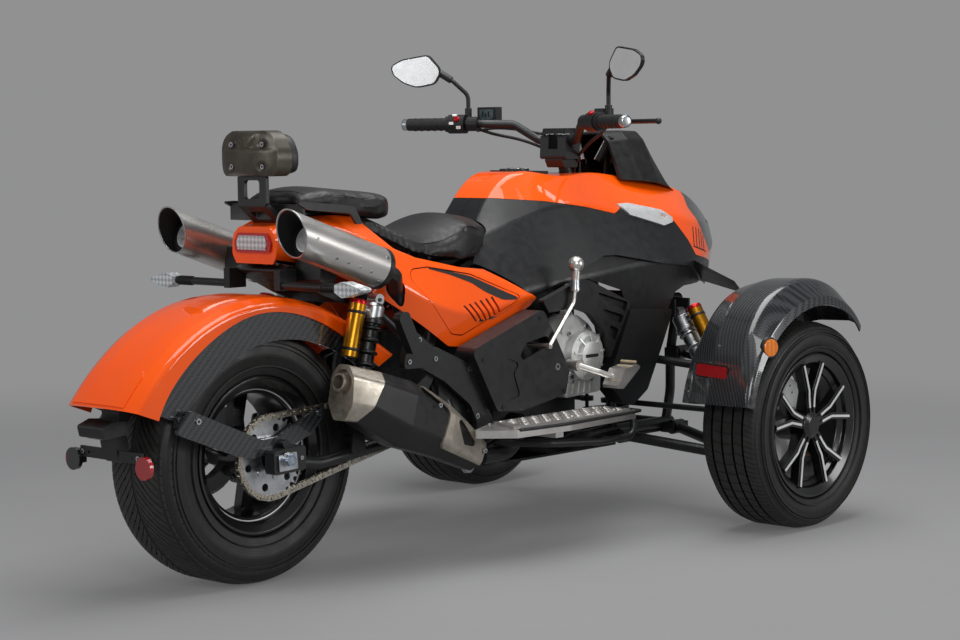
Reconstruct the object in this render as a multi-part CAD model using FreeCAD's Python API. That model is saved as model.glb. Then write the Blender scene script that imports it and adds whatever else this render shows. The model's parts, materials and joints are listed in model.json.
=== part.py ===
import FreeCAD, Part
import math
import os

from FreeCAD import Vector

# Reverse trike: two steered wheels in front, one chain-driven wheel behind, a straddle seat.
# Millimetres. X points forward, Y to the rider's left, Z up. While a piece is made, X is counted
# from the rear axle and Z from the ground; every piece is then moved back by MIDDLE_X, so that
# the finished model stands on Z = 0 with the middle of its length and width at the origin.
# The right side (negative Y) is modelled and mirrored where both sides are alike.

# ---- driving dimensions -----------------------------------------------------------------------
WHEELBASE = 1368.0
TRACK = 1116.0            # between the middles of the front tyres
FRONT_TYRE_R = 261.0      # 175/55-13
FRONT_TYRE_W = 181.0
REAR_TYRE_R = 291.0       # 205/60-13
REAR_TYRE_W = 196.0
FRONT_RIM_R = 182.0       # over the flange
REAR_RIM_R = 178.0
KINGPIN_INSET = 88.0      # steering axis of a front wheel, inside the tyre's middle
KINGPIN_Y = TRACK / 2 - KINGPIN_INSET
KINGPIN_DROP = 86.0       # lower kingpin joint under the wheel centre
KINGPIN_RISE = 100.0      # upper kingpin joint over the wheel centre
STEER_ARM = 90.0          # kingpin to tie rod, and column to tie rod
STEER_Z = 290.0           # height of the tie rods
COLUMN_RAKE = 19.0        # degrees from upright
PIVOT_X = 500.0           # swingarm pivot
PIVOT_Z = 350.0
FIT = 0.3                 # gap between pieces that seat on one another
RUN = 6.0                 # gap round anything that turns
PANEL = 6.0               # bodywork wall
TUBE_R = 16.0             # frame tube

CHAIN_PITCH = 15.875
ROLLER_R = 5.08
REAR_TEETH = 36
DRIVE_TEETH = 14
CHAIN_LINKS = 106         # even, so that inner and outer links alternate
CHAIN_GAP = 20.0          # chain's middle outside the rear tyre
CHAIN_Y = -REAR_TYRE_W / 2 - CHAIN_GAP
DRIVE_ANGLE = 7.1         # rise from the rear axle to the drive sprocket, in degrees

NOSE_X = 1700.0           # foremost point, on the headlamp
TAIL_X = -404.0           # rearmost point, on the plate lamp
MIDDLE_X = (NOSE_X + TAIL_X) / 2

FRONT_HUB = Vector(WHEELBASE, -TRACK / 2, FRONT_TYRE_R)
REAR_HUB = Vector(0, 0, REAR_TYRE_R)
Y_AXIS = Vector(0, 1, 0)
Z_AXIS = Vector(0, 0, 1)


# ---- shapes every piece is made from ------------------------------------------------------------
def outline(points, place):
    """Closed wire through rows of (u, v, corner radius); place turns u, v into a point in space."""
    count = len(points)
    starts, ends, middles = [], [], []
    for i, (u, v, radius) in enumerate(points):
        here = Vector(u, v, 0)
        before = Vector(*points[i - 1][:2], 0) - here
        after = Vector(*points[(i + 1) % count][:2], 0) - here
        half = before.getAngle(after) / 2
        reach = radius / math.tan(half) if radius and half > 0.01 else 0
        reach = min(reach, 0.48 * before.Length, 0.48 * after.Length)
        if reach < 0.05 or half > math.pi / 2 - 0.01:
            starts.append(here)
            ends.append(here)
            middles.append(None)
            continue
        before.normalize()
        after.normalize()
        bisector = (before + after).normalize()
        used = reach * math.tan(half)
        starts.append(here + before * reach)
        ends.append(here + after * reach)
        middles.append(here + bisector * (used / math.sin(half) - used))
    edges = []
    for i in range(count):
        if middles[i] is not None:
            a, m, b = (place(p.x, p.y) for p in (starts[i], middles[i], ends[i]))
            edges.append(Part.Arc(a, m, b).toShape())
        a, b = ends[i], starts[(i + 1) % count]
        if (b - a).Length > 1e-4:
            edges.append(Part.LineSegment(place(a.x, a.y), place(b.x, b.y)).toShape())
    return Part.Wire(edges)


def side_plate(points, y_from, y_to):
    """Outline in X and Z, as thick as the two Y values say."""
    wire = outline(points, lambda u, v: Vector(u, y_from, v))
    return Part.Face(wire).extrude(Vector(0, y_to - y_from, 0))


def top_plate(points, z_from, z_to):
    """Outline in X and Y between two heights."""
    wire = outline(points, lambda u, v: Vector(u, v, z_from))
    return Part.Face(wire).extrude(Vector(0, 0, z_to - z_from))


def front_plate(points, x_from, x_to):
    """Outline in Y and Z between two places along the vehicle."""
    wire = outline(points, lambda u, v: Vector(x_from, u, v))
    return Part.Face(wire).extrude(Vector(x_to - x_from, 0, 0))


def block(x0, x1, y0, y1, z0, z1):
    return Part.makeBox(x1 - x0, y1 - y0, z1 - z0, Vector(x0, y0, z0))


def rod(start, end, radius):
    return Part.makeCylinder(radius, (end - start).Length, start, end - start)


def tube(points, radius, bend=60.0):
    """Round bar along straight runs joined by arcs of one bend radius, or what the runs allow."""
    edges = []
    last = points[0]
    for before, here, after in zip(points, points[1:], points[2:]):
        back, on = before - here, after - here
        half = back.getAngle(on) / 2
        reach = min(bend / math.tan(half), 0.45 * back.Length, 0.45 * on.Length)
        back.normalize()
        on.normalize()
        used = reach * math.tan(half)
        middle = here + (back + on).normalize() * (used / math.sin(half) - used)
        edges.append(Part.LineSegment(last, here + back * reach).toShape())
        edges.append(Part.Arc(here + back * reach, middle, here + on * reach).toShape())
        last = here + on * reach
    edges.append(Part.LineSegment(last, points[-1]).toShape())
    profile = Part.Wire(Part.makeCircle(radius, points[0], points[1] - points[0]))
    return Part.Wire(edges).makePipeShell([profile], True, False)


def turned(points, centre):
    """Ring about the wheel axle through centre, from rows of (radius, Y from the centre, corner)."""
    wire = outline(points, lambda u, v: centre + Vector(u, v, 0))
    return Part.Face(wire).revolve(centre, Y_AXIS, 360)


def ring(centre, inner, outer, y0, y1):
    return turned([(inner, y0, 0), (outer, y0, 0), (outer, y1, 0), (inner, y1, 0)], centre)


def arch(centre, rows, section):
    """Loft round an axle: rows of (degrees above forward, section values...)."""
    wires = []
    for degrees, *values in rows:
        angle = math.radians(degrees)
        away = Vector(math.cos(angle), 0, math.sin(angle))
        wires.append(outline(section(*values), lambda r, y: centre + away * r + Y_AXIS * y))
    return Part.makeLoft(wires, True, False)


def channel(points, wall):
    """Closed section of a thin wall, from rows of (u, v, corner) along its outer face."""
    inner = []
    count = len(points)
    for i, (u, v, corner) in enumerate(points):
        here = Vector(u, v, 0)
        sides = []
        if i > 0:
            sides.append(here - Vector(*points[i - 1][:2], 0))
        if i < count - 1:
            sides.append(Vector(*points[i + 1][:2], 0) - here)
        normals = [Vector(s.y, -s.x, 0).normalize() for s in sides]
        step = sum(normals[1:], normals[0]).normalize()
        offset = here - step * (wall / step.dot(normals[0]))
        inner.append((offset.x, offset.y, max(corner - wall, 0)))
    return list(points) + inner[::-1]


def mirrored_point(point):
    return Vector(point.x, -point.y, point.z)


def mirrored(shape):
    return shape.mirror(Vector(0, 0, 0), Y_AXIS)


def both(*shapes):
    """The right-hand shapes and their left-hand copies."""
    return [*shapes, *(mirrored(s) for s in shapes)]


def joined(*shapes):
    return shapes[0].fuse(list(shapes[1:])).removeSplitter() if len(shapes) > 1 else shapes[0]


def spun(shape, centre, count):
    """The shape repeated evenly about a wheel axle."""
    copies = []
    for i in range(count):
        copy = shape.copy()
        copy.rotate(centre, Y_AXIS, 360.0 * i / count)
        copies.append(copy)
    return copies


# ---- wheels -------------------------------------------------------------------------------------
BEAD_LIFT = 17.0          # flange over the bead seat
FLANGE_W = 7.0


def rim_half(width):
    return width / 2 - 10.0


def tyre(centre, radius, width, rim_r, grooves):
    """Hollow tyre seated between the rim flanges, with its circumferential grooves cut."""
    seat = rim_r - BEAD_LIFT + FIT
    bead = rim_half(width) - FLANGE_W - FIT
    half = width / 2
    wide = (rim_r + radius) / 2 - 6
    right = [(seat, bead, 3), (rim_r + 2, bead, 2), (rim_r + 5, bead + 9, 6), (wide, half, 30),
             (radius - 22, half - 5, 18), (radius - 6, half - 16, 14), (radius, half * 0.55, 60)]
    inside = [(seat, bead - 16, 4), (rim_r + 6, bead - 9, 12), (wide, half - 11, 25),
              (radius - 18, half - 22, 14), (radius - 13, half * 0.5, 40)]
    left = [(r, -y, c) for r, y, c in right[::-1]]
    body = turned(right + left + [(r, -y, c) for r, y, c in inside] + inside[::-1], centre)
    cuts = [ring(centre, radius - 7, radius + 5, y - 3, y + 3) for y in grooves]
    return body.cut(cuts)


def rim_barrel(centre, rim_r, width):
    half = rim_half(width)
    seat = rim_r - BEAD_LIFT
    well = seat - 15
    skin = 7.0
    outer = [(rim_r, half, 2), (rim_r, half - FLANGE_W, 2), (seat, half - FLANGE_W, 2),
             (seat, half - 24, 6), (well, half - 32, 6)]
    inner = [(rim_r - 6, half, 2), (seat - skin, half - 10, 3), (seat - skin, half - 22, 6),
             (well - skin, half - 30, 6)]
    return turned(outer + [(r, -y, c) for r, y, c in outer[::-1]]
                  + [(r, -y, c) for r, y, c in inner] + inner[::-1], centre)


def front_tyre():
    return tyre(FRONT_HUB, FRONT_TYRE_R, FRONT_TYRE_W, FRONT_RIM_R, (-46, -16, 16, 46))


def rear_tyre():
    return tyre(REAR_HUB, REAR_TYRE_R, REAR_TYRE_W, REAR_RIM_R, (-30, 30))


FRONT_SPOKES = 5
HUB_R = 42.0
SPINDLE_R = 17.5
FRONT_DISC_R = 115.0
FRONT_DISC_Y = 20.0       # inboard of the wheel centre
DISC_W = 4.5


def spoke_bar(centre, path, width, y0, y1):
    """Bent bar of even width in the wheel's plane, from rows of (out from the axle, aside)."""
    left, right = [], []
    for i, (out, aside) in enumerate(path):
        a = Vector(*path[max(i - 1, 0)], 0)
        b = Vector(*path[min(i + 1, len(path) - 1)], 0)
        along = (b - a).normalize()
        side = Vector(-along.y, along.x, 0) * (width / 2)
        left.append((out + side.x, aside + side.y, 12 if 0 < i < len(path) - 1 else 0))
        right.append((out - side.x, aside - side.y, 12 if 0 < i < len(path) - 1 else 0))
    wire = outline(left + right[::-1], lambda u, v: centre + Vector(v, y0, u))
    return Part.Face(wire).extrude(Vector(0, y1 - y0, 0))


def front_rim():
    """Right front wheel: barrel, five split spokes with a raised edge, hub and brake disc."""
    reach = FRONT_RIM_R - BEAD_LIFT - 5
    base_face = [(14, -40, 0), (14, -70, 0), (70, -69, 40), (reach, -75, 0), (reach, -50, 0),
                 (90, -46, 30), (50, -36, 10)]
    ridge_face = [(r, y - 4 if y < -60 else y, c) for r, y, c in base_face]
    blades = []
    for side in (1, -1):
        path = [(24, 7 * side), (88, 13 * side), (reach, 44 * side)]
        blades.append((path, 17.0, base_face))
        blades.append((path, 6.0, ridge_face))
    spokes = []
    for path, width, face in blades:
        bar = spoke_bar(FRONT_HUB, path, width, -90, 0)
        spokes += spun(bar.common(turned(face, FRONT_HUB)), FRONT_HUB, FRONT_SPOKES)
    hub = turned([(SPINDLE_R + FIT, 48, 0), (HUB_R, 48, 2), (HUB_R, -34, 6), (34, -72, 4),
                  (22, -79, 6), (0, -79, 0), (0, -48, 0), (SPINDLE_R + FIT, -48, 0)], FRONT_HUB)
    disc = ring(FRONT_HUB, HUB_R - 4, FRONT_DISC_R, FRONT_DISC_Y - DISC_W / 2,
                FRONT_DISC_Y + DISC_W / 2)
    holes = []
    for row, radius in enumerate((84.0, 97.0, 108.0)):
        for i in range(12):
            angle = math.radians(30 * i + 10 * row)
            spot = FRONT_HUB + Vector(radius * math.cos(angle), 0, radius * math.sin(angle))
            holes.append(rod(spot, spot + Y_AXIS * 40, 3.5))
    return joined(rim_barrel(FRONT_HUB, FRONT_RIM_R, FRONT_TYRE_W), hub, disc.cut(holes), *spokes)


AXLE_R = 10.0
CUSH_R = 58.0             # sprocket carrier on the rear hub
REAR_DISC_R = 112.0
REAR_DISC_Y = REAR_TYRE_W / 2 + 14
REAR_HUB_HALF = -CHAIN_Y + 4


def rear_rim():
    """Deep rear wheel: five broad swept spokes near the middle, hub, carrier and brake disc."""
    well = REAR_RIM_R - BEAD_LIFT - 18
    face = [(30, -12, 0), (60, -10, 20), (well, 20, 0), (well, 44, 0), (60, 16, 20), (30, 16, 0)]
    bar = spoke_bar(REAR_HUB, [(28, 0), (80, 10), (well, 46)], 34.0, -60, 60)
    spokes = spun(bar.common(turned(face, REAR_HUB)), REAR_HUB, 5)
    hub = turned([(AXLE_R + FIT, -REAR_HUB_HALF, 0), (30, -REAR_HUB_HALF, 3), (30, -108, 2),
                  (CUSH_R, -108, 3), (CUSH_R, -74, 8), (38, -60, 10), (36, 60, 10),
                  (30, 104, 4), (30, REAR_HUB_HALF, 3), (AXLE_R + FIT, REAR_HUB_HALF, 0)], REAR_HUB)
    disc = ring(REAR_HUB, 28, REAR_DISC_R, REAR_DISC_Y - DISC_W / 2, REAR_DISC_Y + DISC_W / 2)
    windows = []
    for i in range(5):
        angle = math.radians(72 * i)
        spot = REAR_HUB + Vector(58 * math.cos(angle), 0, 58 * math.sin(angle))
        windows.append(rod(spot, spot + Y_AXIS * 130, 17))
    return joined(rim_barrel(REAR_HUB, REAR_RIM_R, REAR_TYRE_W), hub, disc.cut(windows), *spokes)


# ---- chain drive --------------------------------------------------------------------------------
def pitch_radius(teeth):
    return CHAIN_PITCH / (2 * math.sin(math.pi / teeth))


def chain_layout():
    """Centre distance that closes the loop, the drive sprocket's centre and every roller's place."""
    big, small = pitch_radius(REAR_TEETH), pitch_radius(DRIVE_TEETH)
    distance = CHAIN_LINKS * CHAIN_PITCH / 2 - 13 * CHAIN_PITCH
    for _ in range(60):
        lean = math.asin((big - small) / distance)
        wrapped = (REAR_TEETH * (math.pi + 2 * lean) + DRIVE_TEETH * (math.pi - 2 * lean)) / (2 * math.pi)
        distance = (CHAIN_LINKS - wrapped) * CHAIN_PITCH / (2 * math.cos(lean))
    rise = math.radians(DRIVE_ANGLE)
    ahead = Vector(math.cos(rise), 0, math.sin(rise))
    drive = REAR_HUB + ahead * distance
    run = distance * math.cos(lean) / CHAIN_PITCH          # links in one straight run
    round_small = DRIVE_TEETH * (math.pi - 2 * lean) / (2 * math.pi)

    def on_circle(centre, radius, angle):
        return centre + Vector(math.cos(angle), 0, math.sin(angle)) * radius

    top = rise + math.pi / 2 - lean                        # where the upper run leaves
    bottom = rise - math.pi / 2 + lean
    places = []
    for i in range(CHAIN_LINKS):
        if i <= run:
            start, end = on_circle(REAR_HUB, big, top), on_circle(drive, small, top)
            places.append(start + (end - start) * (i / run))
        elif i <= run + round_small:
            angle = top - (i - run) * 2 * math.pi / DRIVE_TEETH
            places.append(on_circle(drive, small, angle))
        elif i <= 2 * run + round_small:
            start, end = on_circle(drive, small, bottom), on_circle(REAR_HUB, big, bottom)
            places.append(start + (end - start) * ((i - run - round_small) / run))
        else:
            angle = bottom - (i - 2 * run - round_small) * 2 * math.pi / REAR_TEETH
            places.append(on_circle(REAR_HUB, big, angle))
    first_on_small = math.ceil(run)
    small_phase = top - (first_on_small - run) * 2 * math.pi / DRIVE_TEETH
    return drive, places, top, small_phase


DRIVE_HUB, ROLLERS, REAR_PHASE, DRIVE_PHASE = chain_layout()
SPROCKET_W = 5.0


def sprocket(centre, teeth, phase, hole_r):
    """Toothed wheel whose gaps sit on the rollers."""
    radius = pitch_radius(teeth)
    gap = ROLLER_R + 0.35
    tip = radius + 4.4
    edges = []
    step = 2 * math.pi / teeth
    base = centre + Y_AXIS * (CHAIN_Y - SPROCKET_W / 2)

    def at(r, angle):
        return base + Vector(r * math.cos(angle), 0, r * math.sin(angle))

    for i in range(teeth):
        mid = phase + i * step
        middle = at(radius, mid)
        side = (at(radius, mid + 0.01) - middle).normalize()
        inward = (base - middle).normalize()
        a, b = middle - side * gap, middle + side * gap
        edges.append(Part.Arc(a, middle + inward * gap, b).toShape())
        tip_a, tip_b = at(tip, mid + step * 0.44), at(tip, mid + step * 0.56)
        following = at(radius, mid + step)
        side_next = (at(radius, mid + step + 0.01) - following).normalize()
        edges.append(Part.LineSegment(b, tip_a).toShape())
        edges.append(Part.LineSegment(tip_a, tip_b).toShape())
        edges.append(Part.LineSegment(tip_b, following - side_next * gap).toShape())
    disc = Part.Face(Part.Wire(edges)).extrude(Vector(0, SPROCKET_W, 0))
    return disc.cut(rod(base - Y_AXIS, base + Y_AXIS * 20, hole_r))


def rear_sprocket():
    wheel = sprocket(REAR_HUB, REAR_TEETH, REAR_PHASE, 30.0 + FIT)
    cuts = []
    for i in range(6):
        angle = math.radians(60 * i + 15)
        spot = REAR_HUB + Vector(68 * math.cos(angle), CHAIN_Y - 10, 68 * math.sin(angle))
        cuts.append(rod(spot, spot + Y_AXIS * 20, 9))
    bolts = []
    for i in range(6):
        angle = math.radians(60 * i + 45)
        spot = REAR_HUB + Vector(46 * math.cos(angle), CHAIN_Y, 46 * math.sin(angle))
        bolts.append(rod(spot, spot - Y_AXIS * 4.8, 6.5))
    spacer = ring(REAR_HUB, 38, 56, CHAIN_Y, -108 - FIT)
    return joined(wheel.cut(cuts), spacer, *bolts)


LINK_PLATE = 1.7


def chain():
    """Inner links carry rollers, outer links carry the pins that pass through them."""
    links = []
    for i, here in enumerate(ROLLERS):
        after = ROLLERS[(i + 1) % CHAIN_LINKS]
        along = (after - here).normalize()
        across = along.cross(Y_AXIS)
        gap = (after - here).Length

        def plate(y, half):
            def place(u, v):
                return here + along * u + across * v + Y_AXIS * (CHAIN_Y + y)
            points = [(-half, -half, half), (gap + half, -half, half),
                      (gap + half, half, half), (-half, half, half)]
            return Part.Face(outline(points, place)).extrude(Y_AXIS * LINK_PLATE)

        spans = (3.3, 5.2) if i % 2 == 0 else (5.25, 7.0)
        near, far = plate(spans[0], 7.0 - i % 2), plate(-spans[0] - LINK_PLATE, 7.0 - i % 2)
        ends = [Vector(p.x, CHAIN_Y, p.z) for p in (here, after)]
        if i % 2 == 0:
            rolls = [rod(p - Y_AXIS * 4, p + Y_AXIS * 4, ROLLER_R) for p in ends]
            bores = [rod(p - Y_AXIS * 9, p + Y_AXIS * 9, 2.9) for p in ends]
            links.append(near.fuse([far, *rolls]).cut(bores))
        else:
            pins = [rod(p - Y_AXIS * 8, p + Y_AXIS * 8, 2.5) for p in ends]
            links.append(near.fuse([far, *pins]))
    return links


def drive_sprocket():
    wheel = sprocket(DRIVE_HUB, DRIVE_TEETH, DRIVE_PHASE, 9.0)
    boss = ring(DRIVE_HUB + Y_AXIS * CHAIN_Y, 9, 20, -12, 0)
    shaft = rod(DRIVE_HUB + Y_AXIS * (CHAIN_Y - 18), DRIVE_HUB + Y_AXIS * (ENGINE_REAR_Y - 1), 9.0)
    return joined(wheel, boss, shaft)


# ---- body forms ---------------------------------------------------------------------------------
# Half sections across the body, as rows of: X, then half width and Z at the bottom, the middle,
# the shoulder and the top.
FRONT_FORM = [
    (640, 130, 560, 150, 640, 142, 690, 120, 715),
    (800, 170, 540, 186, 620, 112, 780, 58, 856),
    (905, 194, 540, 208, 634, 140, 812, 68, 908),
    (960, 205, 540, 218, 640, 150, 822, 72, 905),
    (1140, 222, 540, 233, 660, 178, 806, 80, 900),
    (1340, 222, 540, 236, 670, 188, 790, 84, 880),
    (1500, 170, 560, 190, 670, 165, 765, 78, 856),
    (1620, 110, 600, 126, 680, 106, 752, 58, 818),
    (1700, 62, 640, 72, 690, 58, 740, 34, 778),
]
TAIL_FORM = [
    (70, 62, 716, 76, 738, 72, 782, 50, 800),
    (240, 96, 672, 112, 712, 104, 788, 60, 822),
    (400, 160, 560, 178, 640, 142, 730, 80, 792),
    (560, 176, 490, 192, 580, 158, 690, 90, 735),
    (700, 180, 520, 194, 590, 170, 655, 110, 690),
    (830, 176, 580, 190, 596, 184, 606, 150, 625),
]


def form(rows, thinner=0.0, lower=0.0):
    """Loft through half sections; thinner shrinks it inside, lower drops its underside."""
    wires = []
    for x, *values in rows:
        half = [(values[i] - thinner, values[i + 1]) for i in range(0, 8, 2)]
        half[0] = (half[0][0], half[0][1] - lower)
        half[3] = (half[3][0], half[3][1] - thinner)
        corner = [4, 30, 40, 18]
        points = [(y, z, r) for (y, z), r in zip(half, corner)]
        points += [(-y, z, r) for (y, z), r in zip(half[::-1], corner[::-1])]
        wires.append(outline(points, lambda u, v, x=x: Vector(x, u, v)))
    return Part.makeLoft(wires, True, False)


def panel(skin, points, side=0):
    """The part of a skin inside a side view outline; side -1 keeps the right half only."""
    prism = side_plate(points, -400, 400 if side == 0 else -FIT)
    return skin.common(prism)


COLUMN_FOOT = Vector(WHEELBASE, 0, STEER_Z)
COLUMN_UP = Vector(-math.sin(math.radians(COLUMN_RAKE)), 0, math.cos(math.radians(COLUMN_RAKE)))
COLUMN_R = 17.0


def on_column(z):
    """Point of the steering axis at a height."""
    return COLUMN_FOOT + COLUMN_UP * ((z - STEER_Z) / COLUMN_UP.z)


def column_bore():
    return rod(on_column(STEER_Z - 60), on_column(1060), COLUMN_R + RUN)


def front_skin():
    """Hollow front bodywork, open below and behind."""
    inside = form([(x - PANEL if x in (FRONT_FORM[0][0], FRONT_FORM[-1][0]) else x, *rest)
                   for x, *rest in FRONT_FORM], PANEL, 40)
    return form(FRONT_FORM).cut(inside)


def tail_skin():
    """Hollow tail, open below, in front and under the rider's seat."""
    inside = form([(x + PANEL if x in (TAIL_FORM[0][0], TAIL_FORM[-1][0]) else x, *rest)
                   for x, *rest in TAIL_FORM], PANEL, 40)
    return form(TAIL_FORM).cut([inside, block(500, 900, -120, 120, 400, 900)])


# Seam between the painted shell and the dark fairings: X, Z, corner.
SEAM = [(1604, 650, 0), (1440, 676, 10), (1415, 716, 20), (1368, 768, 10), (1184, 816, 4),
        (1136, 796, 4), (1040, 816, 60), (920, 834, 60), (798, 844, 10), (700, 844, 0)]
SEAM_HALF = 0.45          # half the open width of a seam
# Front edge of the painted shell, where the headlamp starts: X, Z, corner.
NOSE_EDGE = [(1560, 1000, 0), (1546, 826, 0), (1514, 800, 10), (1516, 757, 20), (1559, 702, 10),
             (1603, 651, 0)]
# Edge of the arch pressed into the dark fairing over the engine, and the panel under it.
ARCH = [(774, 603, 0), (834, 609, 20), (925, 649, 20), (997, 672, 20), (1056, 693, 30),
        (1104, 692, 30), (1261, 664, 20), (1412, 648, 10), (1526, 600, 0)]
ARCH_DEPTH = 12.0
CHEEK = [(840, 606, 0), (956, 636, 20), (996, 638, 10), (1122, 602, 6), (1146, 552, 4),
         (1318, 542, 8), (1346, 584, 16), (1395, 597, 20), (1524, 597, 0)]


def seam(shift):
    return [(x, z + shift, corner) for x, z, corner in SEAM]


def tank_shell(skin):
    points = [(700, 1000, 0), *NOSE_EDGE, *seam(SEAM_HALF)]
    return panel(skin, points).cut([column_bore(), filler_recess(FIT)])


def side_fairings(skin):
    """Dark panels with an arch pressed in over the engine, and a beak over the front arms."""
    upper = panel(skin, [(690, 600, 0), *ARCH, (1700, 560, 0), (1700, 578, 0), (1640, 594, 0),
                         (1603, 645, 0), *seam(-SEAM_HALF), (760, 776, 20), (645, 676, 10)], -1)
    rim = form(FRONT_FORM, 1).cut(form(FRONT_FORM, ARCH_DEPTH + 4, 40))
    rim = panel(rim, ARCH + [(x, z + 5, c) for x, z, c in ARCH[::-1]], -1)
    cheek = form(FRONT_FORM, ARCH_DEPTH).cut(form(FRONT_FORM, ARCH_DEPTH + PANEL, 40))
    cheek = panel(cheek, CHEEK + [(x, z + 3, c) for x, z, c in ARCH[:0:-1]], -1)
    roots = [Vector(1414, -202, 672), Vector(1526, -152, 604), Vector(1578, -134, 636)]
    tips = [Vector(1476, -310, 608), Vector(1509, -310, 575), Vector(1512, -300, 588)]
    beak = Part.makeLoft([Part.makePolygon([*p, p[0]]) for p in (roots, tips)], True, True)
    half = joined(upper, rim, cheek, beak).cut(form(TAIL_FORM, -FIT))
    return both(max(half.Solids, key=lambda s: s.Volume))


def headlamp():
    """Clear cover that wraps the nose, with its back wall."""
    edge = [(x + 2 * SEAM_HALF, z, corner) for x, z, corner in NOSE_EDGE]
    outside = [(1800, 1000, 0), (1800, 560, 0), (1640, 600, 0)]
    return form(FRONT_FORM).common(side_plate(outside + edge[::-1], -400, 400))


# Side view of the panel from the fairing down to the footboard: X, Z, corner.
LEG = [(1146, 552 - FIT, 4), (1318, 542 - FIT, 8), (1308, 512, 20), (1268, 437, 30),
       (1213, 339, 20), (1153, 303, 16), (1115, 312, 10), (1061, 361, 8), (1076, 417, 16)]


def leg_fairings():
    """Hollow panels from the side fairings down to the footboards."""
    y_out, y_in = -226, -176
    leg = side_plate(LEG, y_out, y_in)
    hollow = side_plate([(1153, 545, 4), (1308, 536, 6), (1300, 512, 16), (1260, 440, 26),
                         (1207, 343, 16), (1151, 310, 12), (1119, 319, 8), (1068, 364, 6),
                         (1083, 415, 14)], y_out + PANEL, y_in + 10)
    return both(leg.cut(hollow))


def radiator_grilles():
    plate = side_plate([(781, 597, 6), (804, 566, 6), (900, 572, 40), (959, 554, 40),
                        (1018, 498, 40), (1030, 436, 6), (1041, 440, 4), (1122, 572, 10),
                        (960, 637, 10), (930, 642, 10)], -246, -228)
    slots = []
    for points in ([(984, 607), (1109, 573), (1100, 549), (1006, 588)],
                   [(1010, 563), (1092, 540), (1082, 520), (1026, 538)],
                   [(1034, 521), (1072, 506), (1056, 476), (1044, 490)]):
        slots.append(side_plate([(x, z, 4) for x, z in points], -256, -236))
    bridge = block(1048, 1062, -229, -198, 500, 560)
    tab = block(1048, 1160, -204, -198, 500, 536)
    tab = tab.cut(side_plate([(x - FIT, z, c) for x, z, c in LEG], -300, -100))
    return both(joined(plate.cut(slots), bridge, tab))


def filler_panel():
    """Oval filler flap with the ignition lock, in front of the rider."""
    cap = rod(Vector(955, 0, 906), Vector(955, 0, 914), 38)
    return joined(filler_recess(0), cap)


def filler_recess(grow):
    """Body of the filler flap; grown, it is the pocket that the flap sits in."""
    plate = top_plate([(908 - grow, -60 - grow, 30), (908 - grow, 60 + grow, 30),
                       (1040 + grow, 52 + grow, 24), (1040 + grow, -52 - grow, 24)],
                      903 - grow, 911 + 20 * grow)
    plate.rotate(Vector(908, 0, 907), Y_AXIS, 2.0)
    return plate


HOOD_ROWS = [(1250, 114, 880, 58, 1004), (1320, 124, 876, 68, 1009), (1395, 122, 868, 60, 1007),
             (1450, 110, 858, 46, 958), (1505, 88, 844, 36, 866)]


def instrument_hood():
    """Fly screen open to the rider, rows of X, half width and Z at foot and top; its brackets."""
    wires, inner = [], []
    for x, foot, low, head, high in HOOD_ROWS:
        points = [(foot, low, 0), (head + 10, high - 24, 26), (head - 16, high, 22)]
        points += [(-y, z, r) for y, z, r in points[::-1]]
        wires.append(outline(points, lambda u, v, x=x: Vector(x, u, v)))
        points = [(foot - 5, low - 20, 0), (head + 5, high - 29, 24), (head - 20, high - 5, 20)]
        points += [(-y, z, r) for y, z, r in points[::-1]]
        shift = -8 if x > 1450 else 0
        inner.append(outline(points, lambda u, v, x=x + shift: Vector(x, u, v)))
    shell = Part.makeLoft(wires, True, True).cut(Part.makeLoft(inner, True, True))
    bracket = side_plate([(1262, 876, 0), (1310, 872, 0), (1294, 944, 14), (1268, 950, 14)], -46, -40)
    bracket = bracket.cut(rod(Vector(1282, -60, 926), Vector(1282, -30, 926), 9))
    cover = front_skin_solid()
    return [shell.cut(cover), *both(bracket.cut(cover))]


def front_skin_solid():
    return form(FRONT_FORM, -FIT)


# ---- seats and tail -----------------------------------------------------------------------------
def cushion(profile, rows, z_low):
    """Side profile (X, Z, corner) trimmed by a plan of rows (X, half width, corner)."""
    plan = [(x, w, r) for x, w, r in rows] + [(x, -w, r) for x, w, r in rows[::-1]]
    return side_plate(profile, -300, 300).common(top_plate(plan, z_low - 200, z_low + 400))


def rider_seat():
    solid = cushion([(300, 836, 10), (330, 824, 30), (470, 776, 120), (640, 812, 80),
                     (745, 796, 30), (776, 770, 20), (690, 694, 20), (600, 694, 40),
                     (445, 728, 30), (330, 786, 10)],
                    [(300, 84, 20), (440, 132, 60), (620, 142, 80), (790, 84, 40)], 770)
    return solid.cut([form(FRONT_FORM, -FIT), form(TAIL_FORM, -FIT), pillion_seat_form(FIT)])


def pillion_seat_form(grow=0.0):
    return cushion([(122 - grow, 846 - grow, 6), (118 - grow, 872, 14), (200, 886 + grow, 60),
                    (420, 866 + grow, 30), (448 + grow, 840, 20), (426 + grow, 806 - grow, 14),
                    (290, 824 - grow, 40)],
                   [(112 - grow, 96 + grow, 40), (220, 118 + grow, 80), (400, 104 + grow, 60),
                    (452 + grow, 66 + grow, 40)], 840)


def pillion_seat():
    return pillion_seat_form().cut(form(TAIL_FORM, -FIT))


def backrest_pad():
    pad = front_plate([(-88, 916, 26), (88, 916, 26), (96, 960, 60), (72, 1012, 40),
                       (-72, 1012, 40), (-96, 960, 60)], 106 + FIT, 158)
    return pad


def backrest_shell():
    shell = front_plate([(-90, 914, 24), (90, 914, 24), (96, 965, 50), (66, 1017, 40),
                         (-66, 1017, 40), (-96, 965, 50)], 62, 106)
    groove = front_plate([(-34, 1020, 0), (34, 1020, 0), (12, 972, 6), (-12, 972, 6)], 58, 66)
    recesses = [rod(Vector(55, y, z), Vector(68, y, z), 9)
                for y in (-52, 52) for z in (936, 986)]
    return shell.cut([groove, *recesses])


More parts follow.
